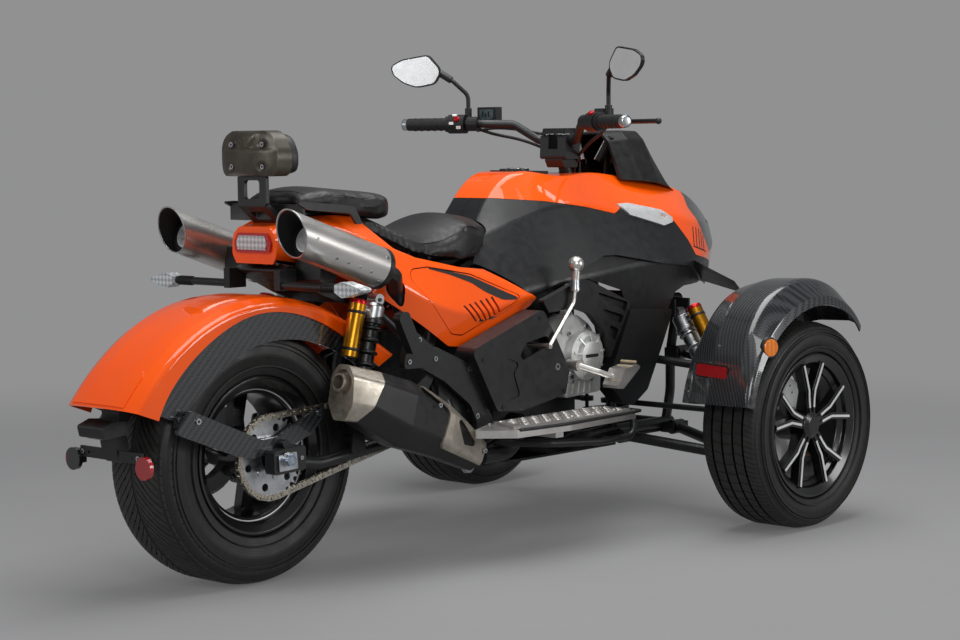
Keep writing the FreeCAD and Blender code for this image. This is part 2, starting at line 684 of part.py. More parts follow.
def seat_brackets():
    """Windowed plate under the backrest, rails beside the pillion seat, and its cross member."""
    upright = front_plate([(-48, 846, 8), (48, 846, 8), (48, 913.7, 4), (-48, 913.7, 4)], 66, 76)
    window = front_plate([(-26, 862, 8), (26, 862, 8), (26, 905, 8), (-26, 905, 8)], 60, 80)
    upright = upright.cut(window)
    kink = side_plate([(66, 846, 0), (76, 852, 4), (128, 814, 4), (132, 800, 0), (122, 800, 0)],
                      -48, 48)
    opening = top_plate([(82, -26, 6), (104, -26, 6), (104, 26, 6), (82, 26, 6)], 780, 870)
    rail = side_plate([(84, 855, 3), (120, 856, 3), (266, 842, 8), (290, 800, 4), (272, 800, 4),
                       (252, 826, 8), (160, 834, 20), (120, 838, 3)], -128, -120)
    tie = block(108, 114, -124, 124, 812, 850)
    cover = form(TAIL_FORM, -FIT)
    body = joined(upright, kink.cut(opening), tie, *both(rail))
    return body.cut([cover, pillion_seat_form(FIT)])


def tail_cowl(skin):
    points = [(60, 700, 0), (60, 900, 0), (250, 900, 0), (318, 812, 20), (380, 740, 30),
              (440, 716, 30), (584, 686, 20), (680, 676, 10), (822, 600, 4), (806, 582, 4),
              (600, 494, 20), (520, 502, 30), (270, 668, 20), (120, 690, 10)]
    inset = [(384, 690, 24), (470, 694, 10), (610, 670, 60), (770, 606, 8), (560, 524, 24),
             (524, 530, 24)]
    pipe_holes = [tube(UPPER_PIPE, 22), mirrored(tube(UPPER_PIPE, 22))]
    return panel(skin, points).cut([side_plate(inset, -400, 400), *pipe_holes])


def side_panels(skin):
    """Panels set into the flanks of the tail, with their louvres."""
    points = [(386, 688, 23), (471, 691, 10), (609, 667, 60), (766, 606, 8), (560, 527, 24),
              (525, 532, 24)]
    half = panel(skin, points, -1)
    louvres = []
    for i in range(6):
        x = 560 + 20 * i
        slot = side_plate([(x, 596 + 3 * i, 0), (x + 7, 597 + 3 * i, 0), (x + 47 - 2 * i, 556, 0),
                           (x + 40 - 2 * i, 556, 0)], -400, -100)
        louvres.append(slot)
    return both(half.cut([*louvres, tube(UPPER_PIPE, 22)]))


def tail_light():
    return front_plate([(-58, 741, 10), (58, 741, 10), (62, 764, 14), (50, 786, 10),
                        (-50, 786, 10), (-62, 764, 14)], 64, 69.5)


def tail_tray():
    """Black undertray with the arms that carry the turn signals and the upper mufflers."""
    tray = side_plate([(76, 700, 6), (100, 712, 6), (230, 668, 10), (270, 660, 4),
                       (270, 616, 4), (200, 640, 20), (110, 684, 10)], -84, 84)
    stalk = rod(Vector(72, -80, 669), Vector(72, -276, 669), 9)
    foot = block(60, 110, -96, -76, 658, 704)
    hanger = side_plate([(120, 676, 6), (170, 676, 6), (160, 752, 6), (124, 752, 6)], -164, -80)
    hanger = hanger.cut(rod(UPPER_REAR, UPPER_FRONT, UPPER_MUFFLER_R + FIT))
    return joined(tray, *both(foot, stalk, hanger)).cut(form(TAIL_FORM, -FIT))


def turn_signals():
    """Diamond lenses at the ends of the stalks."""
    lens = front_plate([(-276 - FIT, 678, 0), (-300, 686, 10), (-356, 674, 4), (-362, 669, 2),
                        (-356, 664, 4), (-300, 650, 10), (-276 - FIT, 662, 0)], 56, 88)
    return both(lens)


# ---- exhaust ------------------------------------------------------------------------------------
UPPER_MUFFLER_R = 48.0
UPPER_REAR = Vector(10, -205, 788)
UPPER_FRONT = Vector(258, -205, 704)
MUFFLER_CORE_R = 30.0


def upper_muffler():
    """Round silencer with a slash-cut mouth, a perforated core and a collar at the front."""
    axis = UPPER_AXIS
    start = UPPER_REAR - axis * 60
    length = (UPPER_FRONT - start).Length
    can = Part.makeCylinder(UPPER_MUFFLER_R, length, start, axis)
    bore = Part.makeCylinder(UPPER_MUFFLER_R - 2.5, 150, start, axis)
    mouth = side_plate([(-200, 600, 0), (12, 600, 0), (12, 735, 0), (-14, 848, 0), (-14, 900, 0),
                        (-200, 900, 0)], -300, -100)
    core = Part.makeCylinder(MUFFLER_CORE_R, 60, UPPER_REAR + axis * 34, axis)
    core = core.cut(Part.makeCylinder(20, 40, UPPER_REAR + axis * 20, axis))
    holes = []
    side = axis.cross(Y_AXIS)
    for i in range(12):
        angle = math.radians(30 * i)
        spot = UPPER_REAR + side * (25 * math.cos(angle)) + Y_AXIS * (25 * math.sin(angle))
        holes.append(Part.makeCylinder(2.4, 46, spot, axis))
    collar = Part.makeCone(46, 34, 22, UPPER_FRONT, axis)
    return joined(can.cut([bore, mouth]), core.cut(holes), collar)


UPPER_AXIS = (UPPER_FRONT - UPPER_REAR).normalize()
UPPER_PIPE = [UPPER_FRONT + UPPER_AXIS * (22 + FIT), UPPER_FRONT + UPPER_AXIS * 60,
              Vector(372, -150, 640), Vector(396, -138, 596)]


def exhaust_pipes():
    """Pipes into the tail from the upper silencers, and from the engine to the lower one."""
    lower = tube([Vector(590, MUFFLER_Y + 34, 232), Vector(700, -204, 232), Vector(764, -196, 300),
                  Vector(764, -150 - FIT, 300)], 18)
    return [*both(tube(UPPER_PIPE, 17)), lower]


# The lower silencer's sections, from its rear face to its nose: X and Z at the top, X and Z at
# the bottom, half width.
MUFFLER_ROWS = [(111, 498, 92, 374, 40), (204, 474, 121, 369, 58), (300, 446, 245, 300, 62),
                (420, 380, 372, 262, 56), (540, 286, 500, 214, 36)]
MUFFLER_Y = -246.0


def muffler_section(row, grow=0.0):
    top_x, top_z, low_x, low_z, half = row
    top, low = Vector(top_x, 0, top_z), Vector(low_x, 0, low_z)
    up = (top - low).normalize()
    height = (top - low).Length + 2 * grow
    half += grow

    def place(u, v):
        return low + up * (v - grow) + Y_AXIS * (MUFFLER_Y + u)

    points = [(-half * 0.45, 0, 14), (half * 0.45, 0, 14), (half, height * 0.3, 22),
              (half * 0.9, height * 0.8, 20), (half * 0.4, height, 16), (-half * 0.4, height, 16),
              (-half * 0.9, height * 0.8, 20), (-half, height * 0.3, 22)]
    return outline(points, place)


def muffler_body():
    rows = [(204.4, 473.9, 121.4, 368.9, 58), *MUFFLER_ROWS[2:]]
    body = Part.makeLoft([muffler_section(r) for r in rows], True, True)
    hanger = side_plate([(336, 400, 6), (420, 452, 10), (436, 440, 10), (380, 370, 6)],
                        -210.7, -203)
    return joined(body, hanger)


def muffler_trim():
    """End cap with its recessed outlet, and the heat shield over the nose."""
    cap = Part.makeLoft([muffler_section(MUFFLER_ROWS[0]), muffler_section(MUFFLER_ROWS[1])],
                        True, True)
    axis = Vector(-1, 0, 0.25).normalize()
    mouth = Vector(102, MUFFLER_Y, 458)
    recess = Part.makeCylinder(30, 40, mouth - axis * 14, axis)
    outlet = Part.makeCylinder(20, 30, mouth - axis * 20, axis)
    bore = Part.makeCylinder(16, 70, mouth - axis * 30, axis)
    cap = cap.cut(recess).fuse(outlet).cut(bore)
    rows = MUFFLER_ROWS[2:]
    over = Part.makeLoft([muffler_section(r, 6.0) for r in rows], True, True)
    under = Part.makeLoft([muffler_section(r, FIT) for r in
                           [(290, 452, 235, 306, 62), *rows[1:-1], (545, 284, 505, 212, 36)]],
                          True, True)
    shape = side_plate([(282, 458, 10), (380, 402, 40), (470, 340, 20), (592, 232, 12),
                        (562, 206, 10), (372, 284, 16), (360, 300, 10), (400, 372, 30)],
                       MUFFLER_Y - 90, MUFFLER_Y - 4)
    window = side_plate([(420, 346, 8), (438, 344, 8), (498, 272, 8), (440, 286, 8)],
                        MUFFLER_Y - 100, MUFFLER_Y)
    shield = over.cut(under).common(shape).cut(window)
    return [cap, *shield.Solids]


# ---- rear end -----------------------------------------------------------------------------------
FENDER_HALF = REAR_TYRE_W / 2 + 22
FENDER_WALL = 5.0
# degrees above forward, then how far crown and edge stand outside the tyre
FENDER_ROWS = [(27, 164, 94), (46, 107, 54), (70, 77, 37), (98, 67, 31), (120, 73, 25),
               (140, 89, 31), (160, 121, 41)]
FENDER_ROWS = [(a, REAR_TYRE_R + b, REAR_TYRE_R + c) for a, b, c in FENDER_ROWS]
# degrees above forward, then how far the lower and upper edges stand outside the tyre
SKIRT_ROWS = [(34, 39, 77), (60, -7, 51), (90, -35, 42), (120, -46, 37), (142, -41, 39),
              (158, -13, 45)]
SKIRT_ROWS = [(a, REAR_TYRE_R + b, REAR_TYRE_R + c) for a, b, c in SKIRT_ROWS]


def rear_fender():
    def section(crown, edge):
        half = FENDER_HALF
        return channel([(edge, -half, 0), (crown - 17, -half, 14), (crown - 4, -half + 30, 26),
                        (crown, -half * 0.4, 60), (crown, half * 0.4, 60),
                        (crown - 4, half - 30, 26), (crown - 17, half, 14), (edge, half, 0)],
                       FENDER_WALL)
    return arch(REAR_HUB, FENDER_ROWS, section)


def fender_skirts():
    """Carbon sides under the fender, and the carbon arms that carry it from the swingarm."""
    y = -(FENDER_HALF - FENDER_WALL - FIT)

    def section(low, high):
        return [(low, y, 0), (high, y, 0), (high, y + 4.5, 0), (low, y + 4.5, 0)]
    skirt = arch(REAR_HUB, SKIRT_ROWS, section)
    arm = side_plate([(-240, 421, 10), (-40, 336, 20), (10, 338, 20), (152, 401, 14),
                      (142, 366, 14), (108, 334, 20),
                      (30, 308, 20), (-66, 297, 30), (-115, 308, 30), (-283, 374, 10)],
                     ARM_IN - ARM_W, ARM_IN)
    eye = rod(Vector(13, ARM_IN - 22, 323), Vector(13, ARM_IN + 8, 323), 6)
    axle = rod(REAR_HUB - Y_AXIS * 160, REAR_HUB - Y_AXIS * 100, 18)
    foot = block(-268, -236, ARM_IN - 1, y + 1, 384, 408)
    return both(joined(arm.cut([eye, axle]), skirt, foot))


ARM_IN = CHAIN_Y - 10     # inner face of the fender arms, clear of the chain
ARM_W = 12.0
SWING_Y = -CHAIN_Y + 38   # swingarm tubes outside the chain
SWING_R = 15.0
LUG_HALF = 15.5           # of the axle lugs, across


def swingarm():
    """Two arms outside the chain and disc, tied in front of the wheel and at the pivot."""
    right = tube([Vector(14, -SWING_Y, 284), Vector(110, -SWING_Y, 268),
                  Vector(310, -SWING_Y, 290), Vector(PIVOT_X, -SWING_Y, PIVOT_Z)], SWING_R, 120)
    lug = side_plate([(-34, 312, 8), (60, 318, 10), (60, 262, 10), (-34, 258, 8)],
                     -SWING_Y - LUG_HALF, -SWING_Y + LUG_HALF)
    slot = rod(REAR_HUB - Y_AXIS * 200, REAR_HUB + Y_AXIS * 200, AXLE_R + FIT)
    cross = rod(Vector(352, -SWING_Y, 326), Vector(352, SWING_Y, 326), 20)
    web = side_plate([(330, 300, 6), (352, 300, 6), (400, 362, 6), (380, 368, 6)],
                     -SWING_Y - 6, -SWING_Y + 6)
    pivot = rod(Vector(PIVOT_X, -SWING_Y, PIVOT_Z), Vector(PIVOT_X, SWING_Y, PIVOT_Z), 19)
    foot = REAR_SHOCK[1]
    ear = [(foot.x - 24, foot.z - 50, 8), (foot.x + 24, foot.z - 46, 8), (foot.x + 14, foot.z + 16, 10),
           (foot.x - 14, foot.z + 16, 10)]
    ears = [side_plate(ear, foot.y - 20, foot.y - 14.5), side_plate(ear, foot.y + 14.5, foot.y + 20)]
    ears.append(rod(foot - Y_AXIS * 21, foot + Y_AXIS * 21, SHOCK_BOLT_R))
    fender_lug = rod(Vector(13, -SWING_Y - 4, 323), Vector(13, ARM_IN - ARM_W - FIT, 323), 10)
    caliper = arch(REAR_HUB, [(-44, 84, 132), (-22, 84, 132), (0, 84, 132)],
                   lambda a, b: [(a, REAR_DISC_Y - 14, 6), (b, REAR_DISC_Y - 14, 6),
                                (b, REAR_DISC_Y + 14, 8), (a, REAR_DISC_Y + 14, 6)])
    gap = ring(REAR_HUB, 40, REAR_DISC_R + RUN, REAR_DISC_Y - 6.5, REAR_DISC_Y + 6.5)
    hanger = block(88, 118, REAR_DISC_Y + 10, SWING_Y - 6, 256, 282)
    caliper = caliper.cut(gap).fuse(hanger)
    arms = [*both(right, lug, web, *ears, fender_lug)]
    return joined(cross, pivot, *arms, caliper).cut([slot, frame_pivot(FIT)])


def frame_pivot(grow=0.0):
    """Pivot bolt that the swingarm turns on."""
    reach = -FRAME_PLATE_Y + 8
    return rod(Vector(PIVOT_X, -reach, PIVOT_Z), Vector(PIVOT_X, reach, PIVOT_Z), 8 + grow)


def rear_axle():
    """Axle, square end plates, washers and nuts, and the spacers against the hub."""
    outer = -SWING_Y - LUG_HALF
    axle = rod(REAR_HUB + Y_AXIS * (outer - 14.5), REAR_HUB - Y_AXIS * (outer - 14.5), AXLE_R)
    plate = side_plate([(-25, 302, 2), (28, 306, 2), (32, 268, 2), (-23, 266, 2)],
                       outer - 5, outer - FIT)
    washer = rod(REAR_HUB + Y_AXIS * (outer - 8), REAR_HUB + Y_AXIS * (outer - 5), 17)
    nut = rod(REAR_HUB + Y_AXIS * (outer - 18), REAR_HUB + Y_AXIS * (outer - 8), 13)
    spacer = ring(REAR_HUB, AXLE_R, 16, -SWING_Y + LUG_HALF + FIT, -REAR_HUB_HALF - 1)
    return joined(axle, *both(plate, washer, nut, spacer))


PLATE_HOLES = 150.0       # between the two holes for the number plate
PLATE_HOLE_R = 3.3
PLATE_HOLE_Z = 326.0


def plate_bracket():
    """Lamp hood under the fender's tail, its stem and the bar that holds the reflectors."""
    hood = side_plate([(-404, 392, 6), (-372, 404, 8), (-330, 400, 8), (-334, 372, 6),
                       (-398, 366, 6)], -44, 44)
    stem = side_plate([(-362, 380, 4), (-330, 390, 4), (-318, 330, 6), (-336, 306, 6),
                       (-350, 320, 6)], -26, 26)
    arm = side_plate([(-345, 384, 6), (-320, 400, 10), (-300, 470, 10), (-330, 510, 4),
                      (-350, 440, 14)], -30, 30)
    fender = arch(REAR_HUB, FENDER_ROWS, lambda crown, edge: [
        (crown - FENDER_WALL - FIT, -60, 0), (crown + 90, -60, 0), (crown + 90, 60, 0),
        (crown - FENDER_WALL - FIT, 60, 0)])
    bar = block(-350, -344, -106, 106, 314, 338)
    holes = [rod(Vector(-360, y, PLATE_HOLE_Z), Vector(-330, y, PLATE_HOLE_Z), PLATE_HOLE_R)
             for y in (-PLATE_HOLES / 2, PLATE_HOLES / 2)]
    tab = block(-350, -338, -124, -100, 300, 330)
    return joined(hood, stem, arm.cut(fender), bar.cut(holes), *both(tab))


def rear_reflectors():
    disc = rod(Vector(-350 - FIT, -122, 308), Vector(-360, -122, 308), 25)
    return both(disc)


# ---- suspension ---------------------------------------------------------------------------------
SHOCK_BOLT_R = 4.7
BRIDGE_R = 11.0           # neck between a shock and its reservoir
# top, foot, spring radius, side on which the reservoir hangs
REAR_SHOCK = (Vector(300, -SWING_Y, 626), Vector(220, -SWING_Y, 330), 26.0, Vector(-0.97, 0, 0.25))
FRONT_SHOCK = (Vector(WHEELBASE, -206, 528), Vector(WHEELBASE, -KINGPIN_Y + 72, 214), 26.0,
               Vector(0, -0.85, 0.52))


def shock(top, foot, spring_r, side, y_eyes):
    """Coil-over turned as one piece: head, collars, coils, cup and end, with an eye at each end."""
    axis = (foot - top).normalize()
    length = (foot - top).Length
    across = Y_AXIS if y_eyes else Vector(1, 0, 0)
    outward = axis.cross(across).normalize()
    collar_r = spring_r + 2
    first, last = 60.0, length - 48
    profile = [(0, 8, 0), (18, 8, 3), (24, 16, 3), (24, 46, 1), (collar_r, 46, 2),
               (collar_r, first - 3, 2), (20, first - 3, 0)]
    turns = 7
    step = (last - first) / turns
    for i in range(turns):
        start = first + i * step
        profile += [(20, start + 1.5, 2), (spring_r, start + 4, 4), (spring_r, start + 9, 4),
                    (20, start + 12, 2)]
    profile += [(20, last, 0), (collar_r, last, 2), (collar_r, last + 8, 2), (13, last + 10, 1),
                (13, length - 8, 2), (0, length - 8, 0)]
    wire = outline(profile, lambda u, v: top + outward * u + axis * v)
    spring = Part.Face(wire).revolve(top, axis, 360)
    eyes = [rod(p - across * 14, p + across * 14, 14) for p in (top, foot)]
    bridge_at = top + axis * 30
    bridge = rod(bridge_at, bridge_at + side * 42, BRIDGE_R)
    holes = [rod(p - across * 30, p + across * 30, SHOCK_BOLT_R + FIT) for p in (top, foot)]
    return joined(spring, *eyes, bridge).cut(holes)


def reservoir(top, foot, spring_r, side):
    axis = (foot - top).normalize()
    start = top + axis * 14 + side * 52
    can = Part.makeCylinder(20, 128, start, axis)
    bridge_at = top + axis * 30
    return can.cut(rod(bridge_at, bridge_at + side * 42, BRIDGE_R + FIT))


def shock_absorbers():
    rear = shock(*REAR_SHOCK, True)
    front = shock(*FRONT_SHOCK, False)
    return both(rear, front)


def shock_reservoirs():
    return both(reservoir(*REAR_SHOCK), reservoir(*FRONT_SHOCK))


LOWER_IN = Vector(WHEELBASE, -112, 204)
UPPER_IN = Vector(WHEELBASE, -152, 412)
LOWER_SPREAD = 112.0
UPPER_SPREAD = 78.0
BALL_R = 15.0
BALL_PIN_R = 7.0


def kingpin(z):
    return Vector(WHEELBASE, -KINGPIN_Y, z)


LOWER_BALL = kingpin(FRONT_TYRE_R - KINGPIN_DROP)
UPPER_BALL = kingpin(FRONT_TYRE_R + KINGPIN_RISE)


def suspension_arms():
    """Double wishbones: each a V of two tubes from bushes on the frame to a ball housing."""
    pieces = []
    for inner, spread, ball, radius, drop in ((LOWER_IN, LOWER_SPREAD, LOWER_BALL, 14.0, -1),
                                              (UPPER_IN, UPPER_SPREAD, UPPER_BALL, 11.0, 1)):
        socket = ball + Z_AXIS * (17 * drop)
        tip = socket + Y_AXIS * 14
        legs = []
        for way in (-1, 1):
            bush = inner + Vector(spread * way, 0, 0)
            legs.append(rod(bush, tip, radius))
            legs.append(rod(bush - Vector(22, 0, 0), bush + Vector(22, 0, 0), 19))
        housing = rod(socket - Z_AXIS * 11, socket + Z_AXIS * 11, BALL_R + 3)
        holes = [rod(inner + Vector(-200, 0, 0), inner + Vector(200, 0, 0), 7.3)]
        holes.append(rod(ball - Z_AXIS * 60, ball + Z_AXIS * 60, BALL_PIN_R + FIT))
        shape = joined(housing, *legs).cut(holes)
        pieces.append(shape)
    foot = FRONT_SHOCK[1]
    ear = [(foot.y - 26, 176, 4), (foot.y + 26, 184, 4), (foot.y + 14, 226, 8), (foot.y - 14, 226, 8)]
    ears = [front_plate(ear, foot.x + x, foot.x + x + 4) for x in (-20, 16)]
    bolt = rod(foot - Vector(20, 0, 0), foot + Vector(20, 0, 0), SHOCK_BOLT_R)
    base = block(foot.x - 28, foot.x + 28, foot.y - 24, foot.y + 24, 176, 186)
    pieces[0] = joined(pieces[0], *ears, bolt, base)
    return both(*pieces)


# ---- steering -----------------------------------------------------------------------------------
STEER_EYE = Vector(WHEELBASE - STEER_ARM, -KINGPIN_Y, STEER_Z)
PITMAN_Y = -36.0
ROD_EYE_R = 13.0
PIN_R = 5.0
CALIPER_ANGLE = 172.0


def knuckle():
    """Upright with its ball pins, spindle, steering arm, caliper and fender bracket."""
    top, low = UPPER_BALL, LOWER_BALL
    post = side_plate([(WHEELBASE - 16, low.z, 6), (WHEELBASE + 16, low.z, 6),
                       (WHEELBASE + 30, FRONT_TYRE_R, 20), (WHEELBASE + 14, top.z, 6),
                       (WHEELBASE - 14, top.z, 6), (WHEELBASE - 30, FRONT_TYRE_R, 20)],
                      -KINGPIN_Y - 15, -KINGPIN_Y + 13)
    pins = [rod(low - Z_AXIS * 27, low + Z_AXIS * 4, BALL_PIN_R),
            rod(top - Z_AXIS * 4, top + Z_AXIS * 27, BALL_PIN_R)]
    flange = rod(FRONT_HUB + Y_AXIS * 60, FRONT_HUB + Y_AXIS * 90, 34)
    spindle = rod(FRONT_HUB - Y_AXIS * 46, FRONT_HUB + Y_AXIS * 90, SPINDLE_R)
    arm_z = STEER_Z - 16
    arm = top_plate([(WHEELBASE - 20, -KINGPIN_Y - 13, 0), (WHEELBASE - 20, -KINGPIN_Y + 13, 0),
                     (STEER_EYE.x - 12, -KINGPIN_Y + 12, 11), (STEER_EYE.x - 12, -KINGPIN_Y - 12, 11)],
                    arm_z - 6, arm_z + 4)
    pin = rod(STEER_EYE - Z_AXIS * 18, STEER_EYE + Z_AXIS * 10, PIN_R)
    disc_y = FRONT_HUB.y + FRONT_DISC_Y
    caliper = arch(FRONT_HUB, [(CALIPER_ANGLE - 22, 78, 134), (CALIPER_ANGLE + 22, 78, 134)],
                   lambda a, b: [(a, 6, 6), (b, 6, 6), (b, 44, 8), (a, 44, 6)])
    caliper = caliper.common(ring(FRONT_HUB, 78, 134, 0, 60))
    caliper = caliper.cut(ring(FRONT_HUB, 30, FRONT_DISC_R + RUN, FRONT_DISC_Y - 6,
                               FRONT_DISC_Y + 6))
    z = FRONT_TYRE_R
    web = [(WHEELBASE - 98, z + 1, 8), (WHEELBASE - 98, z + 25, 8), (WHEELBASE - 16, z + 21, 4),
           (WHEELBASE - 16, z - 13, 4)]
    carrier = side_plate(web, -KINGPIN_Y - 34, -KINGPIN_Y - 22)
    to_caliper = block(WHEELBASE - 98, WHEELBASE - 78, disc_y + 14, -KINGPIN_Y - 24,
                       z + 1, z + 23)
    to_post = block(WHEELBASE - 30, WHEELBASE - 14, -KINGPIN_Y - 34, -KINGPIN_Y - 10,
                    z - 11, z + 19)
    return joined(post, *pins, flange, spindle, arm, pin, caliper, carrier, to_caliper, to_post,
                  fender_stay(7))


def fender_stay(radius):
    """Tube that carries the fender from the knuckle."""
    y, z = FENDER_IN - 8, FRONT_TYRE_R
    return tube([Vector(WHEELBASE - 8, -KINGPIN_Y + 8, z + 65), Vector(WHEELBASE - 60, y, z + 91),
                 Vector(WHEELBASE - 60, y, z + 209), Vector(WHEELBASE - 52, y, z + 336)], radius, 30)


# degrees above forward, then how far inner edge, crown and lip stand outside the tyre
FRONT_FENDER_ROWS = [(52, 35, 61, 27), (72, 57, 103, 43), (95, 69, 111, 43), (118, 57, 105, 39),
                     (145, 41, 69, 35), (166, 35, 45, 29)]
FENDER_IN = -KINGPIN_Y + 30
FENDER_OUT = -TRACK / 2 - 99


def front_fender():
    def section(*rises):
        inner, crown, lip = (FRONT_TYRE_R + rise for rise in rises)
        return channel([(lip, FENDER_OUT, 0), (lip + 22, FENDER_OUT + 6, 16),
                        (crown, FENDER_OUT + 46, 24), (crown - 3, FENDER_IN - 80, 60),
                        (crown - 20, FENDER_IN - 18, 26), (inner, FENDER_IN, 0)], 4.0)
    shell = arch(Vector(WHEELBASE, 0, FRONT_TYRE_R), FRONT_FENDER_ROWS, section)
    return shell.cut(fender_stay(7 + FIT))


def tie_rod():
    """Rod between the steering arm and the pitman arm, an eye at each end."""
    eye = rod(STEER_EYE - Z_AXIS * 6, STEER_EYE + Z_AXIS * 6, ROD_EYE_R)
    inner = Vector(STEER_EYE.x, PITMAN_Y, STEER_Z)
    far = rod(inner - Z_AXIS * 6, inner + Z_AXIS * 6, 18)
    bar = rod(STEER_EYE + Y_AXIS * 8, inner - Y_AXIS * 12, 7.5)
    sleeve = rod(STEER_EYE + Y_AXIS * 40, STEER_EYE + Y_AXIS * 90, 10)
    holes = [rod(STEER_EYE - Z_AXIS * 20, STEER_EYE + Z_AXIS * 20, PIN_R + FIT),
             rod(inner - Z_AXIS * 20, inner + Z_AXIS * 20, 11)]
    return joined(eye, far, bar, sleeve).cut(holes)


BAR_RISE = 1030.0
BAR_R = 11.0
BAR_END_Y = 368.0
GRIP_Y = 258.0
BAR_SWEEP = 21.3          # degrees that the grips point back
BAR_BEND = Vector(1022, -172, BAR_RISE)
BAR_LINE = [BAR_BEND - Vector(math.tan(math.radians(BAR_SWEEP)), 1, 0) * (BAR_END_Y + BAR_BEND.y),
            BAR_BEND, Vector(1084, -118, BAR_RISE - 2), Vector(1126, -62, 984), Vector(1134, 0, 980)]


def handlebar():
    """Tapered bar, riser clamp, steering shaft and pitman arm."""
    right = tube([*BAR_LINE, Vector(1134, 30, 980)], BAR_R, 36)
    bar = [right, mirrored(right)]
    thick = rod(Vector(1134, -52, 980), Vector(1134, 52, 980), 15)
    clamp = side_plate([(1104, 936, 8), (1164, 936, 8), (1160, 1000, 12), (1108, 1000, 12)],
                       -44, 44)
    clamp = clamp.cut(block(1090, 1180, -16, 16, 962, 1010))
    stem = side_plate([(1118, 914, 6), (1170, 914, 6), (1170, 940, 6), (1104, 940, 6)], -30, 30)
    shaft = rod(on_column(STEER_Z - 34), on_column(932), COLUMN_R)
    pitman = top_plate([(WHEELBASE + 24, -20, 20), (WHEELBASE + 24, 20, 20),
                        (STEER_EYE.x - 14, 50, 14), (STEER_EYE.x - 14, -50, 14)],
                       STEER_Z - 34, STEER_Z - 24)
    pins = [rod(Vector(STEER_EYE.x, y, STEER_Z - 28), Vector(STEER_EYE.x, y, STEER_Z + 12), PIN_R)
            for y in (PITMAN_Y, -PITMAN_Y)]
    return joined(*bar, thick, clamp, stem, shaft, pitman, *pins)


def along_bar(y, y_to, radius, inner=None):
    """Sleeve round the straight outer stretch of the bar, between two distances from the middle."""
    a, b = BAR_LINE[0], BAR_LINE[1]
    way = (b - a) * (1 / (b.y - a.y))
    start, end = a + way * (-y - a.y), a + way * (-y_to - a.y)
    solid = rod(start, end, radius)
    if inner is None:
        return solid
    return solid.cut(rod(start - way * 20, end + way * 20, inner))


def grips():
    """Rubber sleeves with flanges and metal bar ends."""
    sleeve = along_bar(BAR_END_Y, GRIP_Y, 16.5, BAR_R)
    flange = along_bar(GRIP_Y + 8, GRIP_Y, 21, BAR_R)
    end = along_bar(BAR_END_Y + 13, BAR_END_Y, 15)
    return both(joined(sleeve, flange, end))


def handlebar_controls():
    """Switch pods, levers on their brackets and the small display beside the left pod."""
    pod = along_bar(GRIP_Y - FIT, GRIP_Y - 44, 25, BAR_R + FIT)
    mount = along_bar(GRIP_Y - 49, GRIP_Y - 77, 19, BAR_R + FIT)
    foot = MIRROR_FOOT
    post = rod(foot - Z_AXIS * 40, foot, 9)
    lever = tube([Vector(1046, foot.y + 20, BAR_RISE), Vector(1074, foot.y - 20, BAR_RISE),
                  Vector(1046, -350, BAR_RISE), Vector(1012, -424, BAR_RISE)], 6, 40)
    knob = Part.makeSphere(8, Vector(1012, -424, BAR_RISE))
    arm = block(1000, 1058, foot.y - 12, foot.y + 40, BAR_RISE - 9, BAR_RISE + 9)
    bar = along_bar(GRIP_Y, GRIP_Y - 100, BAR_R + FIT)
    right = joined(mount, arm, post, lever, knob).cut([bar, along_bar(GRIP_Y + 40, GRIP_Y - 46, 27)])
    tank = block(1040, 1080, foot.y + 14, foot.y + 44, BAR_RISE + 4, BAR_RISE + 34)
    left = mirrored(right)
    display = block(1062, 1086, 160, 226, BAR_RISE + 6, BAR_RISE + 44)
    stand = block(1036, 1070, 196, 216, BAR_RISE + 4, BAR_RISE + 12)
    return [joined(right, tank), joined(left, display, stand), pod, mirrored(pod)]


MIRROR_FOOT = Vector(1043, -241, BAR_RISE + 42)
MIRROR_MID = Vector(965, -357, 1171)
MIRROR_TURN = 17.6        # degrees that the glass is turned in towards the rider
# Outline of the glass: out from its middle, up, corner.
MIRROR_GLASS = [(74, 14, 16), (40, 30, 50), (-34, 40, 18), (-72, 0, 20), (-52, -32, 24),
                (0, -40, 50), (38, -28, 50), (66, -8, 20)]


def mirror_outline(grow, forward, squeeze=1.0):
    """Outline of the glass grown by a margin, on a plane ahead of the mirror's middle."""
    turn = math.radians(MIRROR_TURN)
    out, ahead = Vector(-math.sin(turn), -math.cos(turn), 0), Vector(math.cos(turn), -math.sin(turn), 0)
    points = [(u * (1 + grow / 74) * squeeze, v * (1 + grow / 40) * squeeze, c + grow)
              for u, v, c in MIRROR_GLASS]
    return outline(points, lambda u, v: MIRROR_MID + out * u + Z_AXIS * v + ahead * forward)


def mirror_disc(grow, start, end, squeeze=1.0):
    """Slab between two planes ahead of the mirror's middle; squeeze narrows the far face."""
    return Part.makeLoft([mirror_outline(grow, start), mirror_outline(grow, end, squeeze)], True, True)


def mirrors():
    """Mirror heads on curved stalks."""
    head = joined(mirror_disc(4, 0, 9), mirror_disc(4, 8, 32, 0.55))
    inner_end = Vector(996, -298, 1165)
    elbow = Vector(1012, -268, 1144)
    stalk = tube([MIRROR_FOOT + Z_AXIS * FIT, MIRROR_FOOT + Z_AXIS * 34, elbow, inner_end], 5.5, 30)
    boot = rod(elbow + (inner_end - elbow) * 0.1, inner_end, 9.5)
    return both(joined(head, stalk, boot).cut(mirror_disc(FIT, -1, 4)))


def mirror_glasses():
    return both(mirror_disc(0, 0.2, 4 - FIT))


# ---- engine and its covers ----------------------------------------------------------------------
ENGINE_REAR_Y = CHAIN_Y + 26         # right face of the engine beside the chain
ENGINE_FRONT_X = 1010.0


